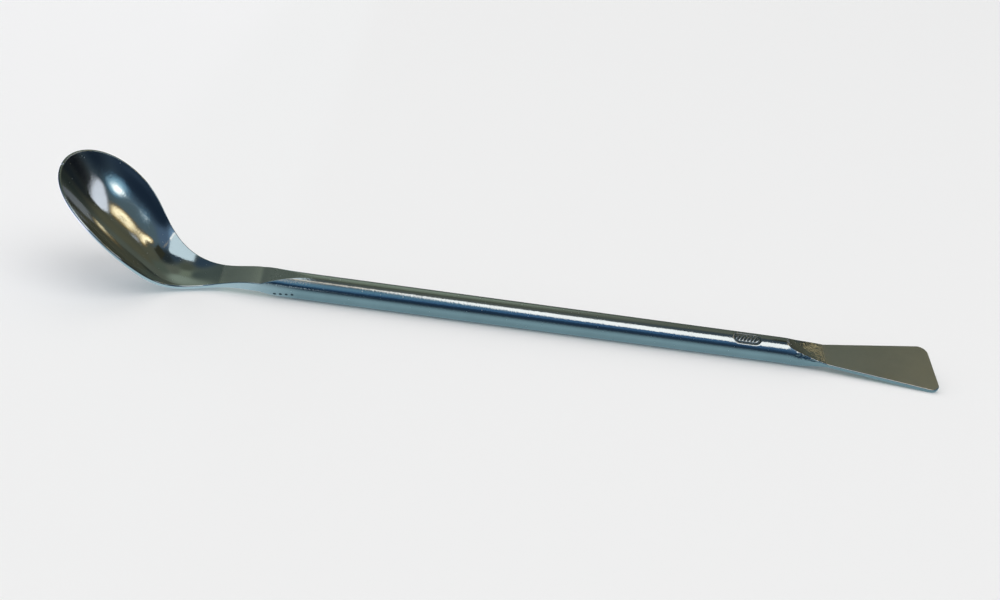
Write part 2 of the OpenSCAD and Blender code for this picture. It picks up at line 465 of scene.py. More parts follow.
@dataclass(frozen=True)
class Skin:
    """How finely a section is drawn, and how soft its pressed edges are.

    Attributes:
        face_parts: Parts across each face.
        side_parts: Parts round each side.
        softness: How far a right-angled edge is eased back along the face.
        face_share: Greatest share of the face that the easing takes up.
        side_share: Greatest share of the side that it takes up.
        bend_points: Points of an eased edge.
        dense: Points of the fine side curve that the parts are picked from.
        crowding: How much the parts crowd where the side turns.
        step: Step over which the change of a section is measured.
    """

    face_parts: int = 44
    side_parts: int = 32
    softness: float = 0.2
    face_share: float = 0.4
    side_share: float = 0.3
    bend_points: int = 14
    dense: int = 90
    crowding: float = 1.6
    step: float = 1e-4

    def side_curve(self, face: float, half_t: float, angle: float, reach: float) -> tuple[Array, float]:
        """Side of one section from the top face to the lower one, with its two edges eased.

        Args:
            face: Half-width of the face.
            half_t: Half-thickness.
            angle: Angle at which the side starts.
            reach: How far the side stands out.

        Returns:
            The side's points as [out, up] pairs, and how far the easing runs back along the face.
        """
        a = np.linspace(angle, -angle, self.dense)
        bulge = max(1 - math.cos(angle), TINY)
        out, up = reach * (np.cos(a) - math.cos(angle)) / bulge, half_t * np.sin(a) / math.sin(angle)
        arc = np.stack([out, up], 1)
        steps = np.hypot(*np.diff(arc, axis=0).T)
        run = np.concatenate([[0], np.cumsum(steps)])
        turn = math.atan2(half_t / math.tan(angle), reach * math.sin(angle) / bulge)
        eased = min(self.softness * turn / (math.pi / 2), self.face_share * face, self.side_share * run[-1])
        if eased > TINY:
            keep = (run > eased) & (run < run[-1] - eased)
            first = np.array([np.interp(eased, run, arc[:, 0]), np.interp(eased, run, arc[:, 1])])
            t = np.linspace(0, 1, self.bend_points)[:, None]
            corner = np.array([0.0, half_t])
            bend = (1 - t) ** 2 * np.array([-eased, half_t]) + 2 * t * (1 - t) * corner + t * t * first
            curve = np.concatenate([bend, arc[keep], (bend * (1, -1))[::-1]])
        else:
            eased, curve = 0.0, arc
        legs = np.diff(curve, axis=0)
        length = np.hypot(*legs.T)
        heading = np.unwrap(np.arctan2(legs[:, 1], legs[:, 0]))
        turned = np.abs(np.gradient(heading))
        weight = length / length.sum() + self.crowding * turned / max(turned.sum(), TINY)
        gone = np.concatenate([[0], np.cumsum(weight)])
        wanted = np.linspace(0, gone[-1], self.side_parts + 1)
        return np.stack([np.interp(wanted, gone, curve[:, k]) for k in (0, 1)], 1), eased

    def rings(self, end: BowlEnd | BladeEnd, q: Array) -> Array:
        """Rings of points round the metal at the places q, in their order round the section.

        Args:
            end: The end of the tool that the places lie on.
            q: Places from the end of the round rod.

        Returns:
            Points as [ring, point, (along from the place, across, up)].
        """
        rows = end.section(q).stacked()
        change = (rows - end.section(q - self.step).stacked()) / self.step
        return np.array([self.ring(*pair) for pair in zip(rows.T, change.T)])

    def ring(self, row: Array, change: Array) -> Array:
        """One ring of points round the metal.

        Args:
            row: The five sizes of the section.
            change: Their change for each millimetre along the metal.

        Returns:
            Points as [point, (along, across, up)].
        """
        face, half_t, angle, reach, dish = row
        spread = change[0] / face if face > TINY else 0.0
        flank = change[0] + change[3]
        curve, eased = self.side_curve(face, half_t, angle, reach)
        back = eased / face if face > TINY else 0.0

        def middle(v: Array) -> Array:
            """Points of the middle line, at the shares v of the half-width."""
            return np.stack([0 * v, v * face, dish * (v * v - 1)], 1)

        def up(v: Array) -> Array:
            """Unit normals of the middle line there."""
            n = np.stack([change[4] * (1 - v * v) + 2 * dish * spread * v * v,
                          -2 * dish / max(face, TINY) * v, np.ones_like(v)], 1)
            return n / np.linalg.norm(n, axis=1)[:, None]

        v = np.linspace(-1, 1, self.face_parts + 1) * (1 - back)
        top = middle(v) + half_t * up(v)
        low = middle(-v) - half_t * up(-v)
        sides = {}
        for side in Side:
            edge = np.array([float(side.value)])
            lift = up(edge)[0]
            along = np.array([1.0, side.value * flank, 0.0])
            out = side.value * np.cross(lift, along / np.linalg.norm(along))
            sides[side] = middle(edge)[0] + curve[1:-1, :1] * out + curve[1:-1, 1:] * lift
        return np.concatenate([top, sides[Side.LEFT], low, sides[Side.RIGHT][::-1]])


@dataclass(frozen=True)
class Stamp:
    """Plain stadium-shaped stamp pressed into the top of the rod, with a row of slanted strokes in it.

    Attributes:
        centre: Place of its centre along the rod, from the end at the bowl.
        lean_deg: How far its centre lies round the rod from the top.
        length: Overall length.
        height: Overall height, measured round the rod.
        line: Width of its pressed lines.
        depth: Depth of its pressed lines.
        sunk: Depth of the field inside the outline.
        strokes: Number of slanted strokes.
        slant: How far a stroke leans along the rod for each millimetre round it.
        stroke_depth: Depth of the strokes, as a share of the outline's.
        stroke_reach: How far they reach from the middle, as a share of the field's half-height.
        outline_blur: Softness of the outline, in widths of a line, as the three below.
        field_blur: Softness of the field's edge.
        stroke_blur: Softness of a stroke.
        stroke_end_blur: Softness of its ends.
        margin: How far past the stamp the rod's skin is finer, along the rod and round it.
        cuts: Number of cuts that make it finer.
        rings: Number of extra rings along the rod.
        ring_margin: How far past the stamp they reach.
    """

    centre: float = -88.4
    lean_deg: float = 12.5
    length: float = 6.3
    height: float = 3.0
    line: float = 0.4
    depth: float = 0.2
    sunk: float = 0.05
    strokes: int = 6
    slant: float = 0.45
    stroke_depth: float = 0.75
    stroke_reach: float = 0.62
    outline_blur: float = 0.55
    field_blur: float = 0.25
    stroke_blur: float = 0.42
    stroke_end_blur: float = 0.2
    margin: tuple[float, float] = (0.3, 0.5)
    cuts: int = 3
    rings: int = 60
    ring_margin: float = 0.4

    def depth_at(self, along: Array, around: Array) -> Array:
        """Depth of the stamp below the rod's surface.

        Args:
            along: Distance from the centre along the rod.
            around: Distance from the centre round the rod.

        Returns:
            The depth at each point.
        """
        radius = self.height / 2 - self.line
        core = self.length / 2 - self.line - radius
        wide = np.maximum(np.abs(along) - core, 0.0)
        edge = np.hypot(wide, around) - radius
        outline = np.exp(-(edge / (self.line * self.outline_blur)) ** 2)
        inside = 1 / (1 + np.exp(edge / (self.line * self.field_blur)))
        pitch = (2 * core + radius) / self.strokes
        shifted = along - self.slant * around
        number = np.clip(np.round(shifted / pitch - 0.5), -self.strokes / 2, self.strokes / 2 - 1)
        nearest = shifted - pitch * (number + 0.5)
        stroke = np.exp(-(nearest / (self.line * self.stroke_blur)) ** 2)
        past_end = np.abs(around) - radius * self.stroke_reach
        stroke *= 1 / (1 + np.exp(past_end / (self.line * self.stroke_end_blur)))
        return np.maximum(self.depth * outline, self.sunk * inside + self.depth * self.stroke_depth * stroke)

    def press(self, bm: bmesh.types.BMesh, rod: Rod) -> int:
        """Press the stamp into the rod of a straight forging.

        Args:
            bm: The forging, in millimetres.
            rod: Its rod.

        Returns:
            Number of points that the stamp moved.
        """
        lean = math.radians(self.lean_deg)
        reach_along, reach_round = self.length / 2 + self.margin[0], self.height / 2 + self.margin[1]

        def local(co: Vector) -> tuple[float, float]:
            """Distance of a point from the stamp's centre, along the rod and round it."""
            return co.x - self.centre, (math.atan2(co.y, co.z) - lean) * rod.radius

        def near(co: Vector) -> bool:
            """Whether a point lies on the stamp or close to it."""
            along, around = local(co)
            return abs(along) < reach_along and abs(around) < reach_round

        chosen = [f for f in bm.faces if near(f.calc_center_median())]
        edges = list({e for f in chosen for e in f.edges})
        bmesh.ops.subdivide_edges(bm, edges=edges, cuts=self.cuts, use_grid_fill=True)
        moved = [v for v in bm.verts if near(v.co)]
        places = np.array([local(v.co) for v in moved])
        depths = self.depth_at(places[:, 0], places[:, 1])
        # Each point's share of the stamp's full depth, which the steel paints darker and rougher.
        stamp_dark = bm.verts.layers.float[Finish.STAMP_DARK.value]
        for vert, depth in zip(moved, depths):
            vert[stamp_dark] = min(float(depth) / self.depth, 1.0)
            spoke = Vector((0.0, vert.co.y, vert.co.z)).normalized() * (rod.radius - float(depth))
            vert.co = (vert.co.x, spoke.y, spoke.z)
        return len(moved)

    def places(self) -> Array:
        """Places of the extra rings that the stamp needs."""
        half = self.length / 2 + self.ring_margin
        return np.linspace(self.centre - half, self.centre + half, self.rings)


@dataclass(frozen=True)
class Rest:
    """How the tool lies: rolled onto its rod and one corner of its blade, in the middle of its own box.

    Attributes:
        roll_deg: Turn about the rod's axis.
        place: Where the end of the round rod's axis comes to lie.
    """

    roll_deg: float = -20.7153
    place: Place = (39.8881, -4.61877, 2.7)

    @property
    def matrix(self) -> Matrix:
        """From the tool's own frame in metres to where it lies."""
        roll = Matrix.Rotation(math.radians(self.roll_deg), 4, "X")
        return Matrix.Translation(Vector(self.place) * MM) @ roll


class Nodes:
    """Small helper that adds linked nodes to a tree."""

    def __init__(self, tree: bpy.types.NodeTree) -> None:
        """Keep the tree.

        Args:
            tree: The shader or geometry tree to build in.
        """
        self.tree = tree

    def add(self, kind: str, settings: dict | None = None, **inputs: object) -> bpy.types.Node:
        """Add a node, set its properties and feed its inputs.

        Args:
            kind: The node's type.
            settings: Properties of the node itself.
            **inputs: Sockets or plain values for its inputs, by name with _ for a space, or i0, i1 by number.

        Returns:
            The new node.
        """
        node = self.tree.nodes.new(kind)
        for key, value in (settings or {}).items():
            setattr(node, key, value)
        for key, value in inputs.items():
            name = int(key[1:]) if key[0] == "i" and key[1:].isdigit() else key.replace("_", " ")
            socket = node.inputs[name]
            if isinstance(value, Socket):
                self.tree.links.new(value, socket)
            else:
                socket.default_value = value
        return node

    def math(self, operation: str, *values: object) -> Socket:
        """Add a Math node.

        Args:
            operation: The node's operation.
            *values: Its inputs, sockets or numbers.

        Returns:
            Its output.
        """
        inputs = {f"i{k}": value for k, value in enumerate(values)}
        return self.add("ShaderNodeMath", {"operation": operation}, **inputs).outputs[0]

    def plus(self, a: object, b: object) -> Socket:
        """The sum of two values."""
        return self.math("ADD", a, b)

    def minus(self, a: object, b: object) -> Socket:
        """The difference of two values."""
        return self.math("SUBTRACT", a, b)

    def times(self, a: object, b: object) -> Socket:
        """The product of two values."""
        return self.math("MULTIPLY", a, b)

    def named(self, name: str) -> Socket:
        """A number that the points of a geometry carry by name."""
        return self.add("GeometryNodeInputNamedAttribute", {"data_type": "FLOAT"}, Name=name).outputs[0]

    def mask(self, finish: Finish) -> Socket:
        """How much of a finish the surface has."""
        return self.add("ShaderNodeAttribute", {"attribute_name": finish.value}).outputs["Fac"]

    def between(self, value: Socket, low: object, high: object, start: float = 0.0,
                end: float = 1.0) -> Socket:
        """Map a value from one range to another, and hold it there.

        Args:
            value: The value.
            low: What start becomes.
            high: What end becomes.
            start: Start of the value's range.
            end: End of the value's range.

        Returns:
            The mapped value.
        """
        return self.add("ShaderNodeMapRange", None, Value=value, i1=start, i2=end, i3=low, i4=high).outputs[0]

    def blend(self, part: Socket, low: object, high: object) -> Socket:
        """Blend two colours.

        Args:
            part: Share of the second colour.
            low: The first colour, as numbers or a socket.
            high: The second colour.

        Returns:
            The blended colour.
        """
        low, high = ((*colour, 1.0) if isinstance(colour, tuple) else colour for colour in (low, high))
        return self.add("ShaderNodeMix", {"data_type": "RGBA"}, i0=part, i6=low, i7=high).outputs[2]

    def grain(self, scale: Place, detail: float, turn_deg: float = 0.0) -> Socket:
        """Add a noise in the object's own frame.

        Args:
            scale: Its frequency on each axis, for each metre.
            detail: Its number of finer layers.
            turn_deg: Turn about the upright axis.

        Returns:
            The noise.
        """
        place = self.add("ShaderNodeTexCoord").outputs["Object"]
        turn = (0.0, 0.0, math.radians(turn_deg))
        turned = self.add("ShaderNodeMapping", None, Vector=place, Rotation=turn, Scale=scale)
        return self.add("ShaderNodeTexNoise", None, Vector=turned.outputs[0], Scale=1.0, Detail=detail,
                        Roughness=0.6).outputs[0]

    def surface(self, **inputs: object) -> None:
        """End a material in a plain shader.

        Args:
            **inputs: Inputs of the shader.
        """
        shader = self.add("ShaderNodeBsdfPrincipled", None, **inputs)
        self.add("ShaderNodeOutputMaterial", None, Surface=shader.outputs[0])

    def shape(self, made: Socket, metal: Socket) -> None:
        """End a shaping tree: make all of its geometry real and give it its metal.

        Args:
            made: The geometry.
            metal: The metal.
        """
        whole = self.add("GeometryNodeRealizeInstances", None, Geometry=made)
        dressed = self.add("GeometryNodeSetMaterial", None, Geometry=whole.outputs[0], Material=metal)
        self.add("NodeGroupOutput", None, Geometry=dressed.outputs[0])


def new_shaper(name: str, kinds: dict[str, str]) -> tuple[bpy.types.NodeTree, Nodes, Outputs]:
    """Add a tree that shapes a piece, with named inputs.

    Args:
        name: Name of the tree.
        kinds: Kind of each input besides the geometry and the metal, by name.

    Returns:
        The tree, its nodes and the sockets that its inputs come out of.
    """
    tree = bpy.data.node_groups.new(name, "GeometryNodeTree")
    for key, kind in {"Geometry": "Geometry", **kinds, "Metal": "Material"}.items():
        tree.interface.new_socket(key, in_out="INPUT", socket_type=f"NodeSocket{kind}")
    tree.interface.new_socket("Geometry", in_out="OUTPUT", socket_type="NodeSocketGeometry")
    n = Nodes(tree)
    return tree, n, n.add("NodeGroupInput").outputs


def new_material(name: str) -> tuple[bpy.types.Material, Nodes]:
    """Add a material with an empty tree of nodes.

    Args:
        name: Name of the material.

    Returns:
        The material and its tree.
    """
    material = bpy.data.materials.new(name)
    material.use_nodes = True
    material.node_tree.nodes.clear()
    return material, Nodes(material.node_tree)


class Crank:
    """Node tree that bends a straight forging at its neck and arches its rim."""

    def __init__(self, bowl: BowlEnd) -> None:
        """Keep the sizes of the bowl end.

        Args:
            bowl: The bowl end that is bent.
        """
        self.sizes = {
            "Crank Start": bowl.crank_at * MM,
            "Crank Radius": bowl.crank_r * MM,
            "Crank Angle": math.radians(bowl.crank_deg),
            "Arch Radius": bowl.arch_r * MM,
        }

    def tree(self) -> bpy.types.NodeTree:
        """Build the tree.

        Returns:
            A tree whose inputs are the geometry, the sizes by name and the metal.
        """
        tree, n, given = new_shaper("crank_and_arch", dict.fromkeys(self.sizes, "Float"))
        start, radius, angle = given["Crank Start"], given["Crank Radius"], given["Crank Angle"]
        arch_r = given["Arch Radius"]
        station, rise = n.named("station"), n.named("rise")
        past = n.math("MAXIMUM", n.minus(station, start), 0.0)
        turned = n.math("MINIMUM", n.math("DIVIDE", past, radius), angle)
        beyond = n.math("MAXIMUM", n.minus(past, n.times(radius, angle)), 0.0)
        heading = n.minus(turned, n.math("DIVIDE", beyond, arch_r))
        sin_t, cos_t = n.math("SINE", turned), n.math("COSINE", turned)
        sin_h, cos_h = n.math("SINE", heading), n.math("COSINE", heading)
        out = n.plus(n.math("MINIMUM", station, start), n.times(radius, sin_t))
        out = n.plus(out, n.times(arch_r, n.minus(sin_t, sin_h)))
        up = n.plus(n.times(radius, n.minus(1.0, cos_t)), n.times(arch_r, n.minus(cos_h, cos_t)))
        split = n.add("ShaderNodeSeparateXYZ", None, i0=n.add("GeometryNodeInputPosition").outputs[0])
        ahead, above = n.minus(split.outputs[0], station), n.minus(split.outputs[2], rise)
        x = n.minus(n.times(ahead, cos_h), n.times(above, sin_h))
        z = n.plus(n.times(ahead, sin_h), n.times(above, cos_h))
        place = n.add("ShaderNodeCombineXYZ", None, X=n.plus(out, x), Y=split.outputs[1],
                      Z=n.plus(n.plus(rise, up), z))
        bent = n.add("GeometryNodeSetPosition", None, Geometry=given["Geometry"], Position=place.outputs[0])
        n.shape(bent.outputs[0], given["Metal"])
        return tree


def grown(blank: bpy.types.Object, tree: bpy.types.NodeTree, values: dict[str, object],
          name: str) -> bpy.types.Object:
    """Run a node tree on an object and keep the result as a plain mesh piece.

    Args:
        blank: The object that the tree works on. It is removed.
        tree: The node tree.
        values: Values of the tree's named inputs.
        name: Name of the finished piece.

    Returns:
        The finished piece, with no modifier on it.
    """
    modifier = blank.modifiers.new("shape", "NODES")
    modifier.node_group = tree
    for item in tree.interface.items_tree:
        if item.item_type == "SOCKET" and item.in_out == "INPUT" and item.name in values:
            modifier[item.identifier] = values[item.name]
    bpy.context.view_layer.update()
    evaluated = blank.evaluated_get(bpy.context.evaluated_depsgraph_get())
    mesh = bpy.data.meshes.new_from_object(evaluated)
    mesh.name = name
    piece = linked(name, mesh)
    bpy.data.objects.remove(blank)
    return piece


def linked(name: str, shown: bpy.types.ID) -> bpy.types.Object:
    """Add an object to the scene that shows a mesh, a lamp or a camera.

    Args:
        name: Name of the object.
        shown: What it shows.

    Returns:
        The object.
    """
    made = bpy.data.objects.new(name, shown)
    bpy.context.scene.collection.objects.link(made)
    return made


@dataclass(frozen=True)
class PolishedSteel:
    """Stainless steel: mirror polish in the bowl, plain polish on the rod, satin on the pressed flats.

    Attributes:
        name: Name of the material.
        polished: Colour of the metal where it is polished.
        satin: Colour of the metal where it is satin.
        stamp_dark: Colour that the stamp's lines are painted towards, the more the deeper they are pressed.
        mirror_roughness: Lowest and highest roughness of the bowl.
        rod_roughness: Lowest and highest roughness of the rod.
        satin_roughness: Lowest and highest roughness of the satin.
        satin_metallic: How metallic the satin is, under the thin film that dulls it.
        hairline: Width of a hairline, in millimetres.
        peel: Width of the slight ripples that polishing leaves, in millimetres.
        relief: Height of the hairlines and ripples, in millimetres.
        line_height: Height of the hairlines, as a share of the relief.
        scratch_height: Depth of the cross scratches, as a share of the relief.
        scratch_deg: Angle of the cross scratches.
        scratch_level: Level of the noise at which such a scratch starts.
        scratch_soft: Range of the noise over which it starts.
        line_grain: Frequency of the hairlines on each axis, for a hairline's width, as the two below.
        sand_grain: Frequency of the satin's grain.
        scratch_grain: Frequency of the cross scratches.
        peel_heights: Height of the ripples on the rod and in the bowl, as shares of the relief.
        wrinkle: Height of the forging's wrinkles at the root of the blade, in millimetres.
        wrinkle_scale: Wrinkles for each metre, along and across the blade.
        wrinkle_deg: Angle of the wrinkles.
        cloud_scale: Clouds of roughness and tone for each metre.
        blotch_shares: Shares of the clouds and hairlines in the roughness.
        blotch_range: Range of their noise that is mapped onto the roughness.
        speck_scale: Specks for each metre.
        speck_size: Radius of a speck, as a share of their spacing.
        speck_clusters: Clusters of specks for each metre.
        speck_level: Level of the noise above which they show.
        speck_and_stamp_roughness: How much rougher the specks and the stamp's darkened lines are.
        stamp_dark_cover: Greatest cover of the darker colour in the stamp's lines.
        tone_shares: Shares of the clouds and of the satin's grain in the tone.
        tone_range: Range of their noise that is mapped onto the tone.
        tone_levels: Lightest and darkest of the tone.
    """

    name: str = "polished_steel"
    polished: Colour = (0.53, 0.55, 0.55)
    satin: Colour = (0.62, 0.63, 0.56)
    stamp_dark: Colour = (0.07, 0.075, 0.07)
    mirror_roughness: tuple[float, float] = (0.04, 0.08)
    rod_roughness: tuple[float, float] = (0.08, 0.13)
    satin_roughness: tuple[float, float] = (0.28, 0.36)
    satin_metallic: float = 0.97
    hairline: float = 0.08
    peel: float = 0.35
    relief: float = 0.0022
    line_height: float = 0.5
    scratch_height: float = 2.2
    scratch_deg: float = 34.0
    scratch_level: float = 0.66
    scratch_soft: float = 0.02
    line_grain: Place = (0.02, 1.0, 1.0)
    sand_grain: Place = (0.6, 1.0, 1.0)
    scratch_grain: Place = (0.8, 0.05, 0.3)
    peel_heights: tuple[float, float] = (8.0, 2.0)
    wrinkle: float = 0.3
    wrinkle_scale: Place = (500.0, 900.0, 900.0)
    wrinkle_deg: float = 20.0
    cloud_scale: float = 160.0
    blotch_shares: tuple[float, float] = (0.7, 0.3)
    blotch_range: tuple[float, float] = (0.35, 0.68)
    speck_scale: float = 1500.0
    speck_size: float = 0.15
    speck_clusters: float = 900.0
    speck_level: float = 0.62
    speck_and_stamp_roughness: float = 0.3
    stamp_dark_cover: float = 0.8
    tone_shares: tuple[float, float] = (0.6, 0.4)
    tone_range: tuple[float, float] = (0.3, 0.7)
    tone_levels: tuple[float, float] = (1.06, 0.9)

    def material(self) -> bpy.types.Material:
        """Build the material.

        Returns:
            The material.
        """
        material, n = new_material(self.name)
        satin = n.mask(Finish.SATIN)
        cloud = n.grain((self.cloud_scale,) * 3, detail=4.0)
        lines = n.grain(self.fine(self.line_grain), detail=2.0)
        sand = n.grain(self.fine(self.sand_grain), detail=2.0)
        n.surface(Metallic=n.between(satin, 1.0, self.satin_metallic),
                  Base_Color=self.colour(n, satin, cloud, sand),
                  Roughness=self.roughness(n, satin, cloud, lines),
                  Normal=self.normal(n, satin, lines, sand))
        return material

    def fine(self, grain: Place) -> Place:
        """Frequency for each metre of a grain that is given for a hairline's width."""
        return tuple(part / (self.hairline * MM) for part in grain)

    def colour(self, n: Nodes, satin: Socket, cloud: Socket, sand: Socket) -> Socket:
        """Colour of the metal, faintly clouded, and painted darker in the stamp's lines in step with their
        depth.

        Args:
            n: The material's nodes.
            satin: Where the metal is satin.
            cloud: Noise of the clouds.
            sand: Noise of the satin's grain.

        Returns:
            The colour.
        """
        # The stamp's lines are painted darker in step with their depth.
        cover = n.times(n.mask(Finish.STAMP_DARK), self.stamp_dark_cover)
        tone = n.blend(cover, n.blend(satin, self.polished, self.satin), self.stamp_dark)
        noise = n.plus(n.times(cloud, self.tone_shares[0]), n.times(sand, self.tone_shares[1]))
        shade = n.between(noise, *self.tone_levels, *self.tone_range)
        return n.add("ShaderNodeVectorMath", {"operation": "SCALE"}, i0=tone, Scale=shade).outputs[0]

    def roughness(self, n: Nodes, satin: Socket, cloud: Socket, lines: Socket) -> Socket:
        """Roughness of the metal, which differs with its finish and is higher on the specks and in the
        stamp's lines.

        Args:
            n: The material's nodes.
            satin: Where the metal is satin.
            cloud: Noise of the clouds.
            lines: Noise of the hairlines.

        Returns:
            The roughness.
        """
        blotch = n.plus(n.times(cloud, self.blotch_shares[0]), n.times(lines, self.blotch_shares[1]))
        finishes = self.rod_roughness, self.mirror_roughness, self.satin_roughness
        rod, bowl, flat = (n.between(blotch, *finish, *self.blotch_range) for finish in finishes)
        clean = n.between(satin, n.between(n.mask(Finish.MIRROR), rod, bowl), flat)
        place = n.add("ShaderNodeTexCoord").outputs["Object"]
        cells = n.add("ShaderNodeTexVoronoi", {"feature": "F1"}, Vector=place, Scale=self.speck_scale,
                      Randomness=1.0)
        clusters = n.grain((self.speck_clusters,) * 3, detail=1.0)
        seen = n.math("GREATER_THAN", clusters, self.speck_level)
        speck = n.times(n.math("LESS_THAN", cells.outputs[0], self.speck_size), seen)
        return n.plus(clean, n.times(n.math("MAXIMUM", speck, n.mask(Finish.STAMP_DARK)), self.speck_and_stamp_roughness))

    def normal(self, n: Nodes, satin: Socket, lines: Socket, sand: Socket) -> Socket:
        """Fine relief of the metal: hairlines, cross scratches, ripples, satin grain and wrinkles.

        Args:
            n: The material's nodes.
            satin: Where the metal is satin.
            lines: Noise of the hairlines.
            sand: Noise of the satin's grain.

        Returns:
            The surface's direction.
        """
        peel = n.grain((1 / (self.peel * MM),) * 3, detail=2.0)
        cross = n.grain(self.fine(self.scratch_grain), detail=1.0, turn_deg=self.scratch_deg)
        crossed = n.math("SMOOTH_MAX", n.minus(cross, self.scratch_level), 0.0, self.scratch_soft)
        height = n.minus(n.times(lines, self.line_height), n.times(crossed, self.scratch_height))
        height = n.plus(height, n.times(sand, satin))
        height = n.plus(height, n.times(peel, n.between(n.mask(Finish.MIRROR), *self.peel_heights)))
        relief = n.add("ShaderNodeBump", None, Strength=1.0, Distance=self.relief * MM, Height=height)
        folds = n.minus(n.grain(self.wrinkle_scale, detail=2.0, turn_deg=self.wrinkle_deg), 0.5)
        folded = n.add("ShaderNodeBump", None, Strength=1.0, Distance=self.wrinkle * MM,
                       Height=n.times(folds, n.mask(Finish.WRINKLE)), Normal=relief.outputs[0])
        return folded.outputs[0]


@dataclass(frozen=True)
class PitShadeFinish:
    """Rough metal of a punched pit, painted dark: the dark colour is painted shade that stands for the pit's
    hollow, while the roughness is the pit's own.

    Attributes:
        name: Name of the material.
        colour: Painted shade of the pit, where it is darkest.
        lighter: How much lighter its lightest spots are.
        spot_scale: Spots for each metre.
        metallic: How metallic the pit is.
        roughness: Roughness of the pit.
    """

    name: str = "pit_painted_shade"
    colour: Colour = (0.05, 0.07, 0.08)
    lighter: float = 1.8
    spot_scale: float = 9000.0
    metallic: float = 0.8
    roughness: float = 0.5

    def material(self) -> bpy.types.Material:
        """Build the material.

        Returns:
            The material.
        """
        material, n = new_material(self.name)
        place = n.add("ShaderNodeTexCoord").outputs["Object"]
        # Painted shade of the hollow, with lighter spots at random.
        spots = n.add("ShaderNodeTexNoise", None, Vector=place, Scale=self.spot_scale, Detail=2.0).outputs[0]
        tone = n.blend(spots, self.colour, tuple(c * self.lighter for c in self.colour))
        n.surface(Base_Color=tone, Metallic=self.metallic, Roughness=self.roughness)
        return material


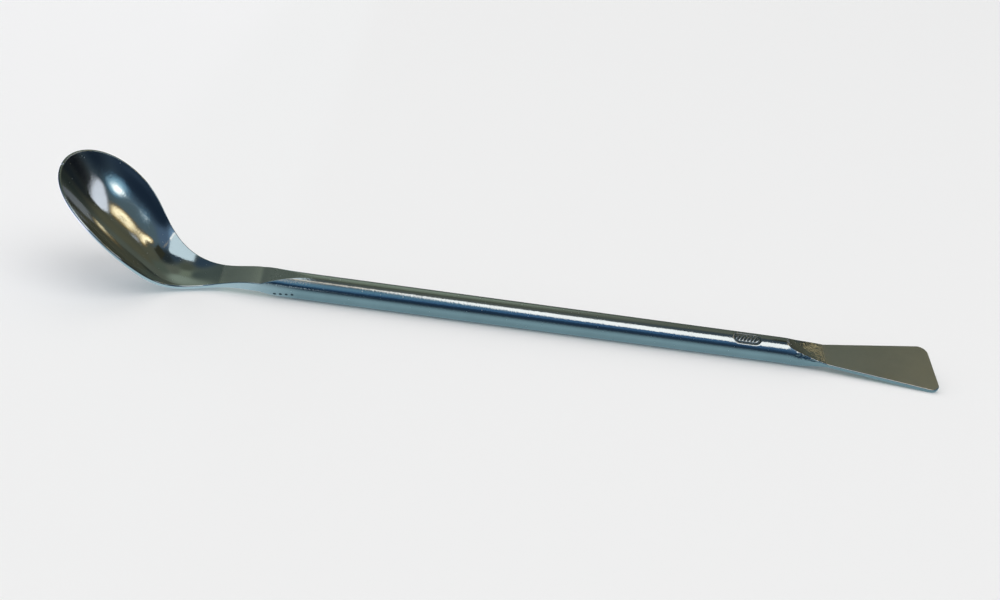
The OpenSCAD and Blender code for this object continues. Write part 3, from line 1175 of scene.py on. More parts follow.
@dataclass
class Forging:
    """The whole tool: blade, rod, neck and bowl in one skin of metal.

    Attributes:
        rod: The rod that it is forged from.
        skin: How finely it is drawn.
        stamp: The stamp on the rod.
        rest: How the tool lies.
        steel: Its finish.
        fair_from: Station from which the metal is faired.
        fair_to: Station up to which it is faired.
        fair_stiffness: How stiff the metal is while it is faired.
        fair_hold: How firmly the first and last rings are held meanwhile.
        weld: Distance below which points become one, in millimetres.
        sliver: Length below which an edge is taken out, in millimetres.
    """

    rod: Rod = field(default_factory=Rod)
    skin: Skin = field(default_factory=Skin)
    stamp: Stamp = field(default_factory=Stamp)
    rest: Rest = field(default_factory=Rest)
    steel: PolishedSteel = field(default_factory=PolishedSteel)
    fair_from: float = 19.0
    fair_to: float = 50.0
    fair_stiffness: float = 1e5
    fair_hold: float = 1e6
    weld: float = 1e-5
    sliver: float = 1e-7

    def __post_init__(self) -> None:
        """Make the two ends from the rod."""
        self.bowl = BowlEnd(self.rod)
        self.blade = BladeEnd(self.rod)

    def rod_places(self) -> Array:
        """Choose where the rings of the plain rod lie, with the finer ones that the stamp needs.

        Returns:
            Their places along the rod, from its end at the bowl.
        """
        even = np.linspace(-self.rod.length, 0, self.rod.rings + 1)
        fine = self.stamp.places()
        apart = (even < fine[0] - self.rod.ring_gap) | (even > fine[-1] + self.rod.ring_gap)
        return np.sort(np.concatenate([even[apart], fine]))

    def rings(self) -> tuple[Array, Array, Array]:
        """All rings from the blade's end to the bowl's tip.

        Returns:
            Points as [ring, point, xyz] in the straight forging's frame, and each ring's station and rise.
        """
        q_blade = self.blade.places()[::-1]
        q_bowl = self.bowl.places()
        blade = self.skin.rings(self.blade, q_blade)
        blade[:, :, 0] = -self.rod.length - q_blade[:, None] - blade[:, :, 0]
        along = self.rod_places()
        plain = np.repeat(self.skin.rings(self.bowl, np.array([0.0])), len(along), 0)
        plain[:, :, 0] = along[:, None]
        bowl = self.skin.rings(self.bowl, q_bowl)
        bowl[:, :, 0] += q_bowl[:, None]
        bowl[:, :, 2] += self.bowl.rise(q_bowl)[:, None]
        station = np.concatenate([-self.rod.length - q_blade, along, q_bowl])
        rise = np.concatenate([0 * q_blade, 0 * along, self.bowl.rise(q_bowl)])
        return np.concatenate([blade, plain, bowl]), station, rise

    def finishes(self, station: Array) -> dict[Finish, Array]:
        """How each point of the rings is finished.

        Args:
            station: Station of each ring.

        Returns:
            The masks, with one value for each point.
        """
        across, side = np.ones(self.skin.face_parts + 1), np.zeros(self.skin.side_parts - 1)
        flat = np.concatenate([across, side, across, side])
        out = -self.rod.length - station
        blade, bowl = self.blade, self.bowl
        root = blade.press_len
        bright_at = bowl.polish_from + bowl.polish_blend
        pressed = share(station, bowl.satin_from, bowl.press_len)
        pressed *= share(station, bright_at, bowl.polish_from)
        satin = share(out, root - blade.satin_lead, root) + pressed
        wrinkle = share(out, *blade.wrinkle_from) * share(out, *(root - lead for lead in blade.wrinkle_to))
        on_face, on_side = blade.wrinkle_shares
        return {
            Finish.SATIN: np.outer(satin, flat).ravel(),
            Finish.MIRROR: np.repeat(share(station, bowl.polish_from, bright_at), len(flat)),
            Finish.WRINKLE: np.outer(wrinkle, mix(on_side, on_face, flat)).ravel(),
            Finish.STAMP_DARK: np.zeros(len(station) * len(flat)),
        }

    def blank(self) -> bpy.types.Object:
        """The straight forging, with its stamp.

        Returns:
            An object that holds it, with each point's station and rise.
        """
        rings, station, rise = self.rings()
        count, size = rings.shape[:2]
        index = np.arange(count * size).reshape(count, size)
        nxt = np.roll(index, -1, 1)
        quads = np.stack([index[:-1], index[1:], nxt[1:], nxt[:-1]], -1).reshape(-1, 4)
        faces = [*quads.tolist(), *self.cap(0), *(face[::-1] for face in self.cap((count - 1) * size))]
        mesh = bpy.data.meshes.new("forging")
        mesh.from_pydata(rings.reshape(-1, 3).tolist(), [], faces)
        masks = {name: np.repeat(values, size) for name, values in (("station", station), ("rise", rise))}
        masks["order"] = np.arange(count * size)
        masks |= {finish.value: values for finish, values in self.finishes(station).items()}
        for name, values in masks.items():
            mesh.attributes.new(name, "FLOAT", "POINT").data.foreach_set("value", values.astype(np.float32))
        bm = bmesh.new()
        bm.from_mesh(mesh)
        bmesh.ops.remove_doubles(bm, verts=bm.verts, dist=self.weld)
        bmesh.ops.dissolve_degenerate(bm, dist=self.sliver, edges=bm.edges)
        moved = self.stamp.press(bm, self.rod)
        layer = bm.verts.layers.float["station"]
        for vert in bm.verts:
            if -self.rod.length < vert.co.x < 0:
                vert[layer] = vert.co.x
        bmesh.ops.scale(bm, vec=(MM, MM, MM), verts=bm.verts)
        for key in ("station", "rise"):
            layer = bm.verts.layers.float[key]
            for vert in bm.verts:
                vert[layer] *= MM
        bmesh.ops.recalc_face_normals(bm, faces=bm.faces)
        if bm.calc_volume(signed=True) < 0:
            bmesh.ops.reverse_faces(bm, faces=bm.faces)
        for face in bm.faces:
            face.smooth = True
        bm.to_mesh(mesh)
        bm.free()
        LOG.info("forging: %d rings, stamp of %d points", count, moved)
        return linked("forging", mesh)

    def cap(self, first: int) -> list[list[int]]:
        """Faces that close one end, from one side of the metal to the other.

        Args:
            first: Number of the end ring's first point.

        Returns:
            Faces as lists of point numbers.
        """
        across, round_side = self.skin.face_parts, self.skin.side_parts
        size = 2 * (across + round_side)
        top = list(range(across + 1))
        low = [size - round_side - k for k in range(across + 1)]
        left = list(range(across + 1, across + round_side))
        right = list(range(size - 1, size - round_side, -1))
        faces = [[top[k], top[k + 1], low[k + 1], low[k]] for k in range(across)]
        faces.append([top[-1], *left, low[-1]])
        faces.append([low[0], *right[::-1], top[0]])
        return [[first + k for k in face] for face in faces]

    def settle(self, mesh: bpy.types.Mesh) -> None:
        """Fair the metal about the crank, so that its curve changes evenly along the tool.

        Args:
            mesh: The cranked forging, with its stations.
        """
        count = len(mesh.vertices)
        place, station, order = (np.empty(count * width, np.float32) for width in (3, 1, 1))
        mesh.vertices.foreach_get("co", place)
        mesh.attributes["station"].data.foreach_get("value", station)
        mesh.attributes["order"].data.foreach_get("value", order)
        place = place.reshape(-1, 3)
        chosen = np.flatnonzero((station > self.fair_from * MM) & (station < self.fair_to * MM))
        chosen = chosen[np.argsort(order[chosen])]
        size = 2 * (self.skin.face_parts + self.skin.side_parts)
        rings = place[chosen].reshape(-1, size * 3).astype(float)
        hold = np.ones(len(rings))
        hold[[0, 1, 2, -3, -2, -1]] = self.fair_hold
        change = np.diff(np.eye(len(rings)), 3, axis=0)
        pull = np.diag(hold) + self.fair_stiffness * change.T @ change
        rings = np.linalg.solve(pull, hold[:, None] * rings)
        place[chosen] = rings.reshape(-1, 3)
        mesh.vertices.foreach_set("co", place.ravel())

    def build(self) -> bpy.types.Object:
        """Forge, crank and lay down the tool.

        Returns:
            The finished piece.
        """
        crank = Crank(self.bowl)
        values = {**crank.sizes, "Metal": self.steel.material()}
        piece = grown(self.blank(), crank.tree(), values, "spatula_body")
        self.settle(piece.data)
        piece.data.transform(self.rest.matrix)
        piece.data.update()
        for key in ("station", "rise", "order"):
            piece.data.attributes.remove(piece.data.attributes[key])
        return piece


@dataclass
class Pits:
    """Row of small punched pits on the near side of the shoulder.

    Attributes:
        forging: The tool that carries them.
        count: Number of pits.
        first: Place of the first, from the end of the round rod's axis.
        pitch: Step from one to the next.
        turn_deg: Angle of the first round the tool, from the top towards its near side.
        turn_step_deg: Change of that angle from one to the next.
        radius: Radius of a pit.
        depth: How far a pit's body reaches below and above the surface.
        size_step: Size of each pit, as a share of the one before it.
        spread: Smallest and largest chance share of that size.
    """

    forging: Forging
    count: int = 4
    first: Place = (9.54, 2.585, -0.805)
    pitch: Place = (-1.17, 0.033, 0.152)
    turn_deg: float = 109.6
    turn_step_deg: float = -4.0
    radius: float = 0.36
    depth: float = 0.07
    size_step: float = 0.93
    spread: tuple[float, float] = (0.95, 1.05)

    def tree(self) -> bpy.types.NodeTree:
        """Build the tree that sets the pits in a row.

        Returns:
            A tree whose inputs are the number, spacing and size of the pits and their metal.
        """
        vectors = dict.fromkeys(("First", "Pitch", "Size", "Turn", "Turn Step"), "Vector")
        tree, n, given = new_shaper("row_of_pits", {"Count": "Int", **vectors, "Size Step": "Float"})
        row = n.add("GeometryNodeMeshLine", {"mode": "OFFSET"}, Count=given["Count"],
                    Start_Location=given["First"], Offset=given["Pitch"])
        ball = n.add("GeometryNodeMeshUVSphere", None, Segments=14, Rings=8, Radius=1.0)
        pit = n.add("GeometryNodeSetShadeSmooth", None, Geometry=ball.outputs[0])
        size = n.add("FunctionNodeRandomValue", {"data_type": "FLOAT"}, i2=self.spread[0],
                     i3=self.spread[1], Seed=5)
        index = n.add("GeometryNodeInputIndex").outputs[0]
        part = n.times(size.outputs[1], n.math("POWER", given["Size Step"], index))
        scale = n.add("ShaderNodeVectorMath", {"operation": "SCALE"}, i0=given["Size"], Scale=part)
        turned = n.add("ShaderNodeVectorMath", {"operation": "SCALE"}, i0=given["Turn Step"], Scale=index)
        turn = n.add("ShaderNodeVectorMath", {"operation": "ADD"}, i0=given["Turn"], i1=turned.outputs[0])
        set_in = n.add("GeometryNodeInstanceOnPoints", None, Points=row.outputs[0], Instance=pit.outputs[0],
                       Rotation=turn.outputs[0], Scale=scale.outputs[0])
        n.shape(set_in.outputs[0], given["Metal"])
        return tree

    def build(self) -> bpy.types.Object:
        """Set the pits into the shoulder.

        Returns:
            The finished piece.
        """
        values = {
            "Count": self.count,
            "First": tuple(c * MM for c in self.first),
            "Pitch": tuple(c * MM for c in self.pitch),
            "Size": (self.radius * MM, self.radius * MM, self.depth * MM),
            "Turn": (-math.radians(self.turn_deg), 0.0, 0.0),
            "Turn Step": (-math.radians(self.turn_step_deg), 0.0, 0.0),
            "Size Step": self.size_step,
            # The pits' dark colour is painted shade that stands for their hollows.
            "Metal": PitShadeFinish().material(),
        }
        blank = linked("pit_blank", bpy.data.meshes.new("pit_blank"))
        piece = grown(blank, self.tree(), values, "shoulder_pits")
        piece.data.transform(self.forging.rest.matrix)
        return piece


@dataclass(frozen=True)
class Tone:
    """A tone of the dim room that the metal mirrors, in one direction from the tool.

    Attributes:
        name: What stands there.
        around: Degrees round from the camera's side, towards the bowl.
        up: Degrees above the floor.
        colour: Colour of the room there.
    """

    name: str
    around: float
    up: float
    colour: Colour

    @property
    def direction(self) -> Array:
        """The tone's direction as a unit vector."""
        return ray_to(self.around, self.up)


def ray_to(around: float, up: float) -> Array:
    """Direction that lies around degrees from the camera's side and up degrees above the floor.

    Args:
        around: Degrees round from the camera's side, towards the bowl.
        up: Degrees above the floor.

    Returns:
        A unit vector.
    """
    a, u = math.radians(around), math.radians(up)
    return np.array([math.sin(a) * math.cos(u), math.cos(a) * math.cos(u), math.sin(u)])


def grid_faces(rows: int, size: int, closed: bool) -> list[Face]:
    """Faces of a grid whose points are numbered row by row.

    Args:
        rows: Number of rows.
        size: Number of points in a row.
        closed: Whether each row closes on itself.

    Returns:
        The faces.
    """
    steps = size if closed else size - 1
    return [(r * size + k, r * size + (k + 1) % size, (r + 1) * size + (k + 1) % size, (r + 1) * size + k)
            for r in range(rows - 1) for k in range(steps)]


def fan_faces(first: int, size: int) -> list[Face]:
    """Faces from a closed row of points to the one point that comes after it.

    Args:
        first: Number of the row's first point.
        size: Number of points in the row.

    Returns:
        The faces.
    """
    return [(first + k, first + (k + 1) % size, first + size) for k in range(size)]


class MirroredPaint:
    """Light that only the metal's reflections see, painted point by point on a mesh."""

    LAYER = "paint"
    ONE_BOUNCE = 1.5

    def material(self, name: str, echo: float) -> bpy.types.Material:
        """Build the light, which is clear where the paint is.

        Args:
            name: Name of the material.
            echo: Share of it that a reflection of a reflection still shows.

        Returns:
            The material.
        """
        material, n = new_material(name)
        paint = n.add("ShaderNodeAttribute", {"attribute_name": self.LAYER})
        glow = n.add("ShaderNodeEmission", None, Color=paint.outputs["Color"], Strength=1.0)
        clear = n.add("ShaderNodeBsdfTransparent")
        again = n.math("GREATER_THAN", n.add("ShaderNodeLightPath").outputs["Ray Depth"], self.ONE_BOUNCE)
        cover = n.times(paint.outputs["Alpha"], n.minus(1.0, n.times(again, 1.0 - echo)))
        both = n.add("ShaderNodeMixShader", None, i0=cover, i1=clear.outputs[0], i2=glow.outputs[0])
        n.add("ShaderNodeOutputMaterial", None, Surface=both.outputs[0])
        return material

    def hang(self, name: str, verts: Array, faces: list[Face], paint: Array,
             echo: float = 1.0) -> bpy.types.Object:
        """Hang a painted mesh in the studio.

        Args:
            name: Name of the object.
            verts: Its points, in metres.
            faces: Its faces.
            paint: Colour and cover of each point, as [point, rgba].
            echo: Share of it that a reflection of a reflection still shows.

        Returns:
            The object.
        """
        mesh = bpy.data.meshes.new(name)
        mesh.from_pydata(verts.tolist(), [], faces)
        layer = mesh.color_attributes.new(self.LAYER, "FLOAT_COLOR", "POINT")
        layer.data.foreach_set("color", paint.astype(np.float32).ravel())
        mesh.materials.append(self.material(name, echo))
        card = linked(name, mesh)
        card.visible_camera = False
        card.visible_diffuse = False
        card.visible_shadow = False
        card.visible_transmission = False
        return card


@dataclass(frozen=True)
class Room(MirroredPaint):
    """Dim room about the tool, as a dome that blends its tones.

    Attributes:
        tones: The room's tones.
        reach: Radius of the dome.
        blur_deg: Angle below which a tone stays even.
        power: How fast a tone gives way to the next.
        low_rows: First and last height of the dome's lower rows in degrees, and their number.
        high_rows: The same for its upper rows.
        columns: Number of points in each row.
    """

    tones: tuple[Tone, ...]
    reach: float = 2.6
    blur_deg: float = 4.0
    power: float = 4.5
    low_rows: Spread = (-2.0, 44.0, 47)
    high_rows: Spread = (46.0, 88.0, 22)
    columns: int = 144

    def build(self) -> bpy.types.Object:
        """Build the dome.

        Returns:
            The dome.
        """
        ups = np.concatenate([np.linspace(*self.low_rows), np.linspace(*self.high_rows)])
        arounds = np.linspace(-180, 180, self.columns, endpoint=False)
        rays = np.array([ray_to(a, u) for u in ups for a in arounds] + [ray_to(0, 90)])
        toward = np.array([tone.direction for tone in self.tones])
        apart = np.arccos(np.clip(rays @ toward.T, -1.0, 1.0))
        weight = (apart ** 2 + math.radians(self.blur_deg) ** 2) ** (-self.power / 2)
        colour = weight @ np.array([tone.colour for tone in self.tones]) / weight.sum(1)[:, None]
        faces = grid_faces(len(ups), self.columns, True)
        faces += fan_faces(len(rays) - 1 - self.columns, self.columns)
        return self.hang("dim_room", rays * self.reach, faces, np.c_[colour, np.ones(len(rays))])


@dataclass(frozen=True)
class Glow(MirroredPaint):
    """A lit patch that the metal mirrors, painted in rings from its outline to its middle.

    Attributes:
        name: Name of the patch.
        corners: Its outline, in metres.
        rings: Share of the outline's size, colour and cover of each ring, from the outline inwards.
        echo: Share of it that a reflection of a reflection still shows.
        parts: Number of parts that each edge of the outline is divided into.
    """

    name: str
    corners: tuple[Place, ...]
    rings: tuple[Ring, ...]
    echo: float = 1.0
    parts: int = 8

    def build(self) -> bpy.types.Object:
        """Hang the patch.

        Returns:
            The patch.
        """
        outline = np.array(self.corners)
        steps = np.arange(self.parts)[:, None] / self.parts
        edges = zip(outline, np.roll(outline, -1, 0))
        fine = np.concatenate([mix(start, end, steps) for start, end in edges])
        middle, size, count = fine.mean(0), len(fine), len(self.rings)
        verts = [mix(middle, fine, part) for part, _, _ in self.rings] + [middle[None]]
        paint = [np.tile([*colour, cover], (size, 1)) for _, colour, cover in self.rings]
        paint.append(paint[-1][:1])
        faces = grid_faces(count, size, True) + fan_faces((count - 1) * size, size)
        return self.hang(self.name, np.concatenate(verts), faces, np.concatenate(paint), self.echo)


@dataclass(frozen=True)
class FloorSheen(MirroredPaint):
    """The floor as the metal mirrors it: lit close to the rod, dim further away, and bright past the bowl.

    Attributes:
        lit: Colour of the floor close to the rod.
        dim: Colour of the floor away from the rod.
        reach: Distance from the rod at which the light has faded, in metres.
        under_bowl: Colour of the floor under the bowl.
        past_bowl: Colour of the floor past the bowl.
        places: Where along the tool the rod's floor ends, the bowl's starts and ends, and the bright
            floor starts.
        fade: How sharply the light at the rod ends.
        height: Height over the floor, which keeps the two apart.
        near_rows: First and last distance of the close rows from the rod, and their number.
        far_rows: The same for the rows further away.
        near_columns: First and last place of the close columns along the tool, and their number.
        far_columns: Places of the columns past them, on both sides.
    """

    lit: Colour = (0.29, 0.47, 0.54)
    dim: Colour = (0.030, 0.055, 0.085)
    reach: float = 0.0077
    under_bowl: Colour = (0.60, 0.82, 0.92)
    past_bowl: Colour = (1.5, 1.55, 1.9)
    places: tuple[float, float, float, float] = (0.045, 0.057, 0.082, 0.105)
    fade: float = 1.3
    height: float = 0.00002
    near_rows: Spread = (0.0, 0.06, 40)
    far_rows: Spread = (0.066, 2.5, 24)
    near_columns: Spread = (-0.12, 0.15, 55)
    far_columns: tuple[float, float, float, float] = (0.2, 0.4, 1.0, 2.5)

    def build(self) -> bpy.types.Object:
        """Lay the sheen just above the floor.

        Returns:
            The sheen.
        """
        side = np.r_[np.linspace(*self.near_rows), np.geomspace(*self.far_rows)]
        end = np.array(self.far_columns)
        ys = np.r_[-side[:0:-1], side]
        xs = np.r_[-end[::-1], np.linspace(*self.near_columns), end]
        y, x = (v.ravel() for v in np.meshgrid(ys, xs, indexing="ij"))
        near = np.exp(-(np.abs(y) / self.reach) ** self.fade)[:, None]
        colour = mix(np.array(self.dim), np.array(self.lit), near)
        colour = mix(colour, np.array(self.under_bowl), ease(share(x, *self.places[:2]))[:, None])
        colour = mix(colour, np.array(self.past_bowl), ease(share(x, *self.places[2:]))[:, None])
        verts, paint = np.c_[x, y, 0 * x + self.height], np.c_[colour, np.ones(len(x))]
        return self.hang("floor_sheen", verts, grid_faces(len(ys), len(xs), False), paint)


def from_bowl(*angles: tuple[float, float], reach: float = 2.4) -> tuple[Place, ...]:
    """Places that lie in given directions from the middle of the bowl.

    Args:
        *angles: Degrees round from the camera's side and degrees above the floor, for each place.
        reach: Their distance in metres.

    Returns:
        The places.
    """
    middle = np.array(BOWL_MIDDLE)
    return tuple(tuple(middle + ray_to(around, up) * reach) for around, up in angles)


def even(colour: Colour, soft: float, outer: float = 1.0, cover: float = 1.0) -> tuple[Ring, ...]:
    """Rings of a patch of one colour with a soft edge.

    Args:
        colour: The patch's colour.
        soft: Share of the outline's size at which it reaches its full cover.
        outer: Share of the outline's size at which it is clear.
        cover: Its full cover.

    Returns:
        The rings.
    """
    return ((outer, colour, 0.0), (soft, colour, cover))


@dataclass(frozen=True)
class Lamp:
    """A broad soft lamp, far away, so that the floor is lit evenly.

    Attributes:
        name: Name of the lamp.
        toward: Direction from the tool to the lamp.
        strength: Its strength.
        spread_deg: Angle that it fills, which softens its shadow.
    """

    name: str
    toward: Place
    strength: float
    spread_deg: float

    def build(self) -> bpy.types.Object:
        """Hang the lamp, which the metal doesn't mirror.

        Returns:
            The lamp.
        """
        light = bpy.data.lights.new(self.name, "SUN")
        light.energy = self.strength
        light.angle = math.radians(self.spread_deg)
        lamp = linked(self.name, light)
        lamp.rotation_euler = (-Vector(self.toward)).to_track_quat("-Z", "Y").to_euler()
        lamp.visible_glossy = False
        return lamp


@dataclass(frozen=True)
class View:
    """The camera, which looks at the tool in the tool's own frame.

    Attributes:
        rest: How the tool lies, which the camera follows.
        azimuth_deg: Angle of the camera round the tool.
        elevation_deg: Its angle above the plane of the tool's axis.
        roll_deg: Turn of the camera about its own axis.
        target: Place that it is set out from, in millimetres.
        lift: How far over the target it looks, in millimetres.
        distance: Its distance from there, in millimetres.
        sensor: Width of its sensor, in millimetres.
        lens: Focal length of its lens, in millimetres.
        clip: Nearest and furthest distance that it shows, in metres.
    """

    rest: Rest
    azimuth_deg: float = 172.29
    elevation_deg: float = 42.0
    roll_deg: float = 12.87
    target: Place = (-35.8, 0.0, 0.0)
    lift: float = 2.52
    distance: float = 247.72
    sensor: float = 36.0
    lens: float = 43.2
    clip: tuple[float, float] = (0.005, 50.0)

    def build(self) -> bpy.types.Object:
        """Set up the camera.

        Returns:
            The camera.
        """
        azimuth, elevation, roll = (
            math.radians(a) for a in (self.azimuth_deg, self.elevation_deg, self.roll_deg))
        level_back = Vector((math.sin(azimuth), -math.cos(azimuth), 0.0)) * math.cos(elevation)
        back = level_back + Vector((0.0, 0.0, math.sin(elevation)))
        level = Vector((math.cos(azimuth), math.sin(azimuth), 0.0))
        upward = back.cross(level)
        right = level * math.cos(roll) + upward * math.sin(roll)
        up = upward * math.cos(roll) - level * math.sin(roll)
        stand = Matrix((right, up, back)).transposed().to_4x4()
        stand.translation = (Vector(self.target) + upward * self.lift + back * self.distance) * MM
        data = bpy.data.cameras.new("camera")
        data.sensor_width = self.sensor
        data.lens = self.lens
        data.clip_start, data.clip_end = self.clip
        camera = linked("camera", data)
        camera.matrix_world = self.rest.matrix @ stand
        bpy.context.scene.camera = camera
        return camera


@dataclass
class Studio:
    """Pale floor, soft lamps, the room that the metal mirrors, and the camera.

    Attributes:
        rest: How the tool lies, which the camera follows.
        floor_half: Half of the floor's width, in metres.
        floor_colour: Colour of the floor.
        floor_roughness: Roughness of the floor.
        floor_shine: Strength of its shine.
        world_strength: Strength of the light from all round.
        lamps: The soft lamps.
        tones: The dim room's tones.
        glows: The lit patches in it.
    """

    rest: Rest
    floor_half: float = 6.0
    floor_colour: Colour = (0.9, 0.9, 0.9)
    floor_roughness: float = 0.9
    floor_shine: float = 0.1
    world_strength: float = 0.6
    lamps: tuple[Lamp, ...] = (
        Lamp("key_lamp", (-0.3, 0.45, 0.85), 0.9, 50.0),
        Lamp("fill_lamp", (0.4, -0.5, 0.75), 0.5, 70.0),
    )
    tones: tuple[Tone, ...] = (
        Tone("ceiling behind", -170, 77, (0.11, 0.13, 0.1)),
        Tone("ceiling in front", -20, 84, (0.13, 0.15, 0.14)),
        Tone("ceiling past the bowl", 80, 76, (0.045, 0.08, 0.12)),
        Tone("back wall, high", 178, 60, (0.24, 0.29, 0.22)),
        Tone("back wall, left", 155, 58, (0.09, 0.12, 0.11)),
        Tone("back wall, low", -178, 43, (0.32, 0.39, 0.32)),
        Tone("corner behind, high", -155, 54, (0.16, 0.18, 0.145)),
        Tone("corner behind", -150, 37, (0.12, 0.15, 0.12)),
        Tone("warm skirting", -158, 20, (0.13, 0.15, 0.12)),
        Tone("warm corner", -144, 20, (0.13, 0.13, 0.085)),
        Tone("dark wall, high", -117, 52, (0.03, 0.042, 0.047)),
        Tone("olive cloth", -130, 30, (0.13, 0.135, 0.095)),
        Tone("blue shade", -84, 38, (0.11, 0.18, 0.28)),
        Tone("blue sheet", -60, 46, (0.25, 0.42, 0.63)),
        Tone("shade over the sheet", -92, 66, (0.05, 0.08, 0.11)),
        Tone("floor line, right", -125, 10, (0.007, 0.01, 0.015)),
        Tone("dark corner, right", -97, 12, (0.011, 0.022, 0.042)),
        Tone("dark blue curtain", -73, 25, (0.015, 0.03, 0.055)),
        Tone("pale curtain", -98, 28, (0.12, 0.18, 0.21)),
        Tone("blue skirting", -64, 13, (0.06, 0.1, 0.16)),
        Tone("wall past the bowl", 120, 40, (0.033, 0.052, 0.06)),
        Tone("front wall, lit end", 9, 36, (0.15, 0.32, 0.45)),
        Tone("front wall", -8, 28, (0.07, 0.18, 0.35)),
        Tone("front wall, low", -5, 10, (0.02, 0.052, 0.105)),
        Tone("front floor line", 0, 0, (0.016, 0.04, 0.07)),
        Tone("front corner", 40, 58, (0.15, 0.21, 0.23)),
        Tone("back floor line", -148, 5, (0.02, 0.03, 0.03)),
        Tone("corner, low", -139, 12, (0.014, 0.021, 0.027)),
    )
    glows: tuple[Glow, ...] = (
        Glow("softbox", ((-0.310, 0.095, 0.385), (-0.180, 0.107, 0.385), (0.030, 0.112, 0.385),
                         (0.010, 0.250, 0.385), (-0.060, 0.380, 0.385), (-0.110, 0.465, 0.385),
                         (-0.310, 0.500, 0.385)), even((1.6, 1.65, 1.65), 0.98, outer=1.02)),
        Glow("softbox_rim", ((0.0, 0.095, 0.386), (0.13, 0.10, 0.386), (0.13, 0.18, 0.386),
                             (0.0, 0.18, 0.386)), even((1.0, 0.94, 0.82), 0.8, cover=0.95)),
        Glow("crease_light", ((0.0500, 0.03, 0.019), (0.0500, 0.03, 0.026), (0.0470, 0.03, 0.052),
                              (0.0440, 0.03, 0.078), (0.0440, 0.03, 0.064), (0.0470, 0.03, 0.040)),
             even((1.1, 0.98, 0.85), 0.7)),
        Glow("bowl_sheet", ((0.0448, -0.0030, 0.0350), (0.0448, 0.0045, 0.0355), (0.0448, 0.0075, 0.0400),
                            (0.0502, 0.0080, 0.0470), (0.0600, 0.0075, 0.0470), (0.0700, 0.0030, 0.0470),
                            (0.0700, -0.0060, 0.0470), (0.0630, -0.0066, 0.0470), (0.0549, -0.0070, 0.0470),
                            (0.0448, -0.0105, 0.0420), (0.0448, -0.0095, 0.0385), (0.0448, -0.0055, 0.0365)),
             ((1.0, (0.6, 0.8, 0.9), 0.0), (0.88, (0.9, 1.1, 1.2), 1.0)), echo=0.0),
        Glow("blade_card", ((-0.351, -0.088, 0.333), (-0.191, -0.088, 0.333), (-0.191, -0.222, 0.333),
                            (-0.351, -0.222, 0.333)), even((0.045, 0.047, 0.032), 0.8)),
        Glow("edge_strip", ((-0.270, -0.070, 0.340), (-0.371, 0.026, 0.445), (-0.227, 0.083, 0.311),
                            (-0.161, 0.007, 0.240), (-0.182, -0.035, 0.258)),
             ((1.0, (1.2, 0.9, 0.5), 0.0), (0.8, (1.4, 1.05, 0.55), 1.0))),
        Glow("root_card", ((-0.289, -0.135, 0.302), (-0.337, -0.169, 0.333), (-0.266, -0.164, 0.268),
                           (-0.252, -0.168, 0.251), (-0.220, -0.151, 0.229), (-0.197, -0.129, 0.216),
                           (-0.226, -0.127, 0.245)),
             ((1.0, (0.5, 0.42, 0.24), 0.0), (0.8, (0.7, 0.58, 0.33), 1.0), (0.3, (0.95, 0.8, 0.45), 1.0))),
        Glow("root_shade", ((-0.148, -0.056, 0.039), (-0.123, -0.085, 0.039), (-0.116, -0.075, 0.065),
                            (-0.137, -0.050, 0.065)), even((0.085, 0.09, 0.07), 0.8)),
        Glow("window", from_bowl((-108.6, 18.0), (-104.7, 19.2), (-107.4, 20.9), (-113.7, 23.1),
                                 (-122.0, 23.9), (-129.0, 23.3), (-133.5, 20.2), (-134.3, 17.5),
                                 (-133.4, 16.5), (-124.8, 17.2), (-114.3, 17.6)),
             even((1.1, 1.17, 1.3), 0.97, outer=1.03), echo=0.25),
        Glow("gold_lamp", from_bowl((-126.0, 24.8), (-118.0, 25.0), (-113.5, 25.6), (-110.5, 26.6),
                                    (-106.5, 28.6), (-104.5, 32.0), (-110.5, 32.0), (-112.5, 28.8),
                                    (-117.0, 27.3), (-124.5, 26.6), reach=2.2),
             ((1.1, (0.7, 0.5, 0.22), 0.0), (0.9, (1.2, 0.9, 0.45), 0.8), (0.6, (2.2, 1.9, 1.25), 1.0))),
        Glow("gold_halo", from_bowl((-130.0, 24.4), (-123.0, 23.6), (-114.0, 24.2), (-106.0, 26.0),
                                    (-102.5, 30.0), (-104.0, 34.5), (-110.0, 33.5), (-115.0, 30.0),
                                    (-122.0, 28.2), (-130.0, 26.2), reach=2.38),
             ((1.0, (0.20, 0.15, 0.07), 0.0), (0.6, (0.32, 0.23, 0.11), 0.9))),
        Glow("blue_lamp", from_bowl((-97.0, 20.6), (-90.0, 20.8), (-87.5, 23.0), (-90.0, 24.6),
                                    (-97.0, 24.6), (-99.5, 22.6), reach=2.2),
             ((1.15, (0.5, 0.75, 0.9), 0.0), (0.8, (1.5, 1.8, 1.9), 0.9), (0.5, (2.4, 2.5, 2.4), 1.0))),
        Glow("blue_halo", from_bowl((-98.0, 18.1), (-87.0, 17.8), (-80.3, 19.2), (-80.7, 22.6),
                                    (-87.8, 25.4), (-98.0, 25.8), (-104.0, 24.8), (-105.0, 22.7),
                                    (-103.0, 20.0), reach=2.37),
             ((1.0, (0.06, 0.13, 0.22), 0.0), (0.8, (0.14, 0.28, 0.42), 0.9), (0.5, (0.45, 0.8, 1.0), 1.0))),
    )

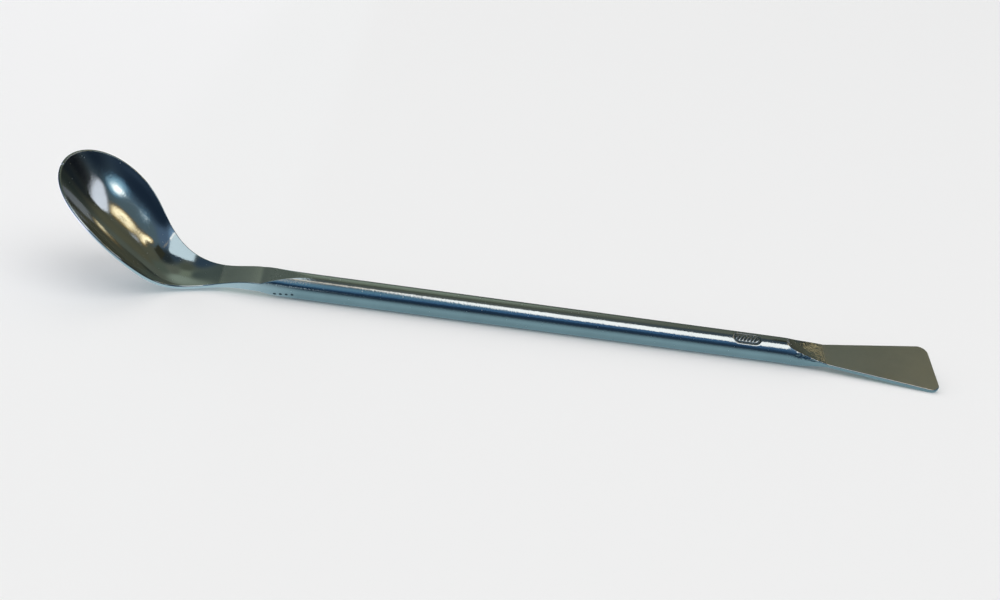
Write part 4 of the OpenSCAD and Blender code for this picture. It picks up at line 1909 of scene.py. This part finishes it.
    def floor(self) -> bpy.types.Object:
        """Lay the pale floor.

        Returns:
            The floor.
        """
        mesh = bpy.data.meshes.new("floor")
        half = self.floor_half
        mesh.from_pydata([(-half, -half, 0), (half, -half, 0), (half, half, 0), (-half, half, 0)], [],
                         [(0, 1, 2, 3)])
        material, n = new_material("floor_white")
        n.surface(Base_Color=(*self.floor_colour, 1.0), Roughness=self.floor_roughness,
                  Specular_IOR_Level=self.floor_shine)
        mesh.materials.append(material)
        floor = linked("floor", mesh)
        return floor

    def world(self) -> None:
        """Fill the room with plain soft light, and show the background white."""
        world = bpy.data.worlds.new("room")
        bpy.context.scene.world = world
        world.use_nodes = True
        world.node_tree.nodes.clear()
        n = Nodes(world.node_tree)
        path = n.add("ShaderNodeLightPath")
        shown = n.math("MAXIMUM", path.outputs["Is Camera Ray"],
                       n.math("MAXIMUM", path.outputs["Is Glossy Ray"], path.outputs["Is Transmission Ray"]))
        level = n.between(shown, self.world_strength, 1.0)
        back = n.add("ShaderNodeBackground", None, Color=(1.0, 1.0, 1.0, 1.0), Strength=level)
        n.add("ShaderNodeOutputWorld", None, Surface=back.outputs[0])

    def build(self) -> None:
        """Set up the whole studio."""
        self.world()
        self.floor()
        Room(self.tones).build()
        FloorSheen().build()
        for thing in (*self.glows, *self.lamps, View(self.rest)):
            thing.build()
        bpy.context.scene.view_settings.view_transform = "Standard"
        LOG.info("studio: %d tones and %d glows", len(self.tones), len(self.glows))


def report(piece: bpy.types.Object) -> None:
    """Log how large a finished piece is and how many faces it has.

    Args:
        piece: The piece.
    """
    corners = [piece.matrix_world @ Vector(c) for c in piece.bound_box]
    low = [min(c[k] for c in corners) / MM for k in range(3)]
    high = [max(c[k] for c in corners) / MM for k in range(3)]
    LOG.info("%s: %d faces, box %s to %s mm", piece.name, len(piece.data.polygons),
             [round(v, 2) for v in low], [round(v, 2) for v in high])


def main() -> None:
    """Build the studio and the tool."""
    logging.basicConfig(level=logging.INFO, format="%(name)s: %(message)s")
    forging = Forging()
    Studio(forging.rest).build()
    body = forging.build()
    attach(body, "root")
    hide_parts("spatula")
    report(body)
    pits = Pits(forging).build()
    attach(pits, "root")
    report(pits)


if __name__ == "__main__":
    main()
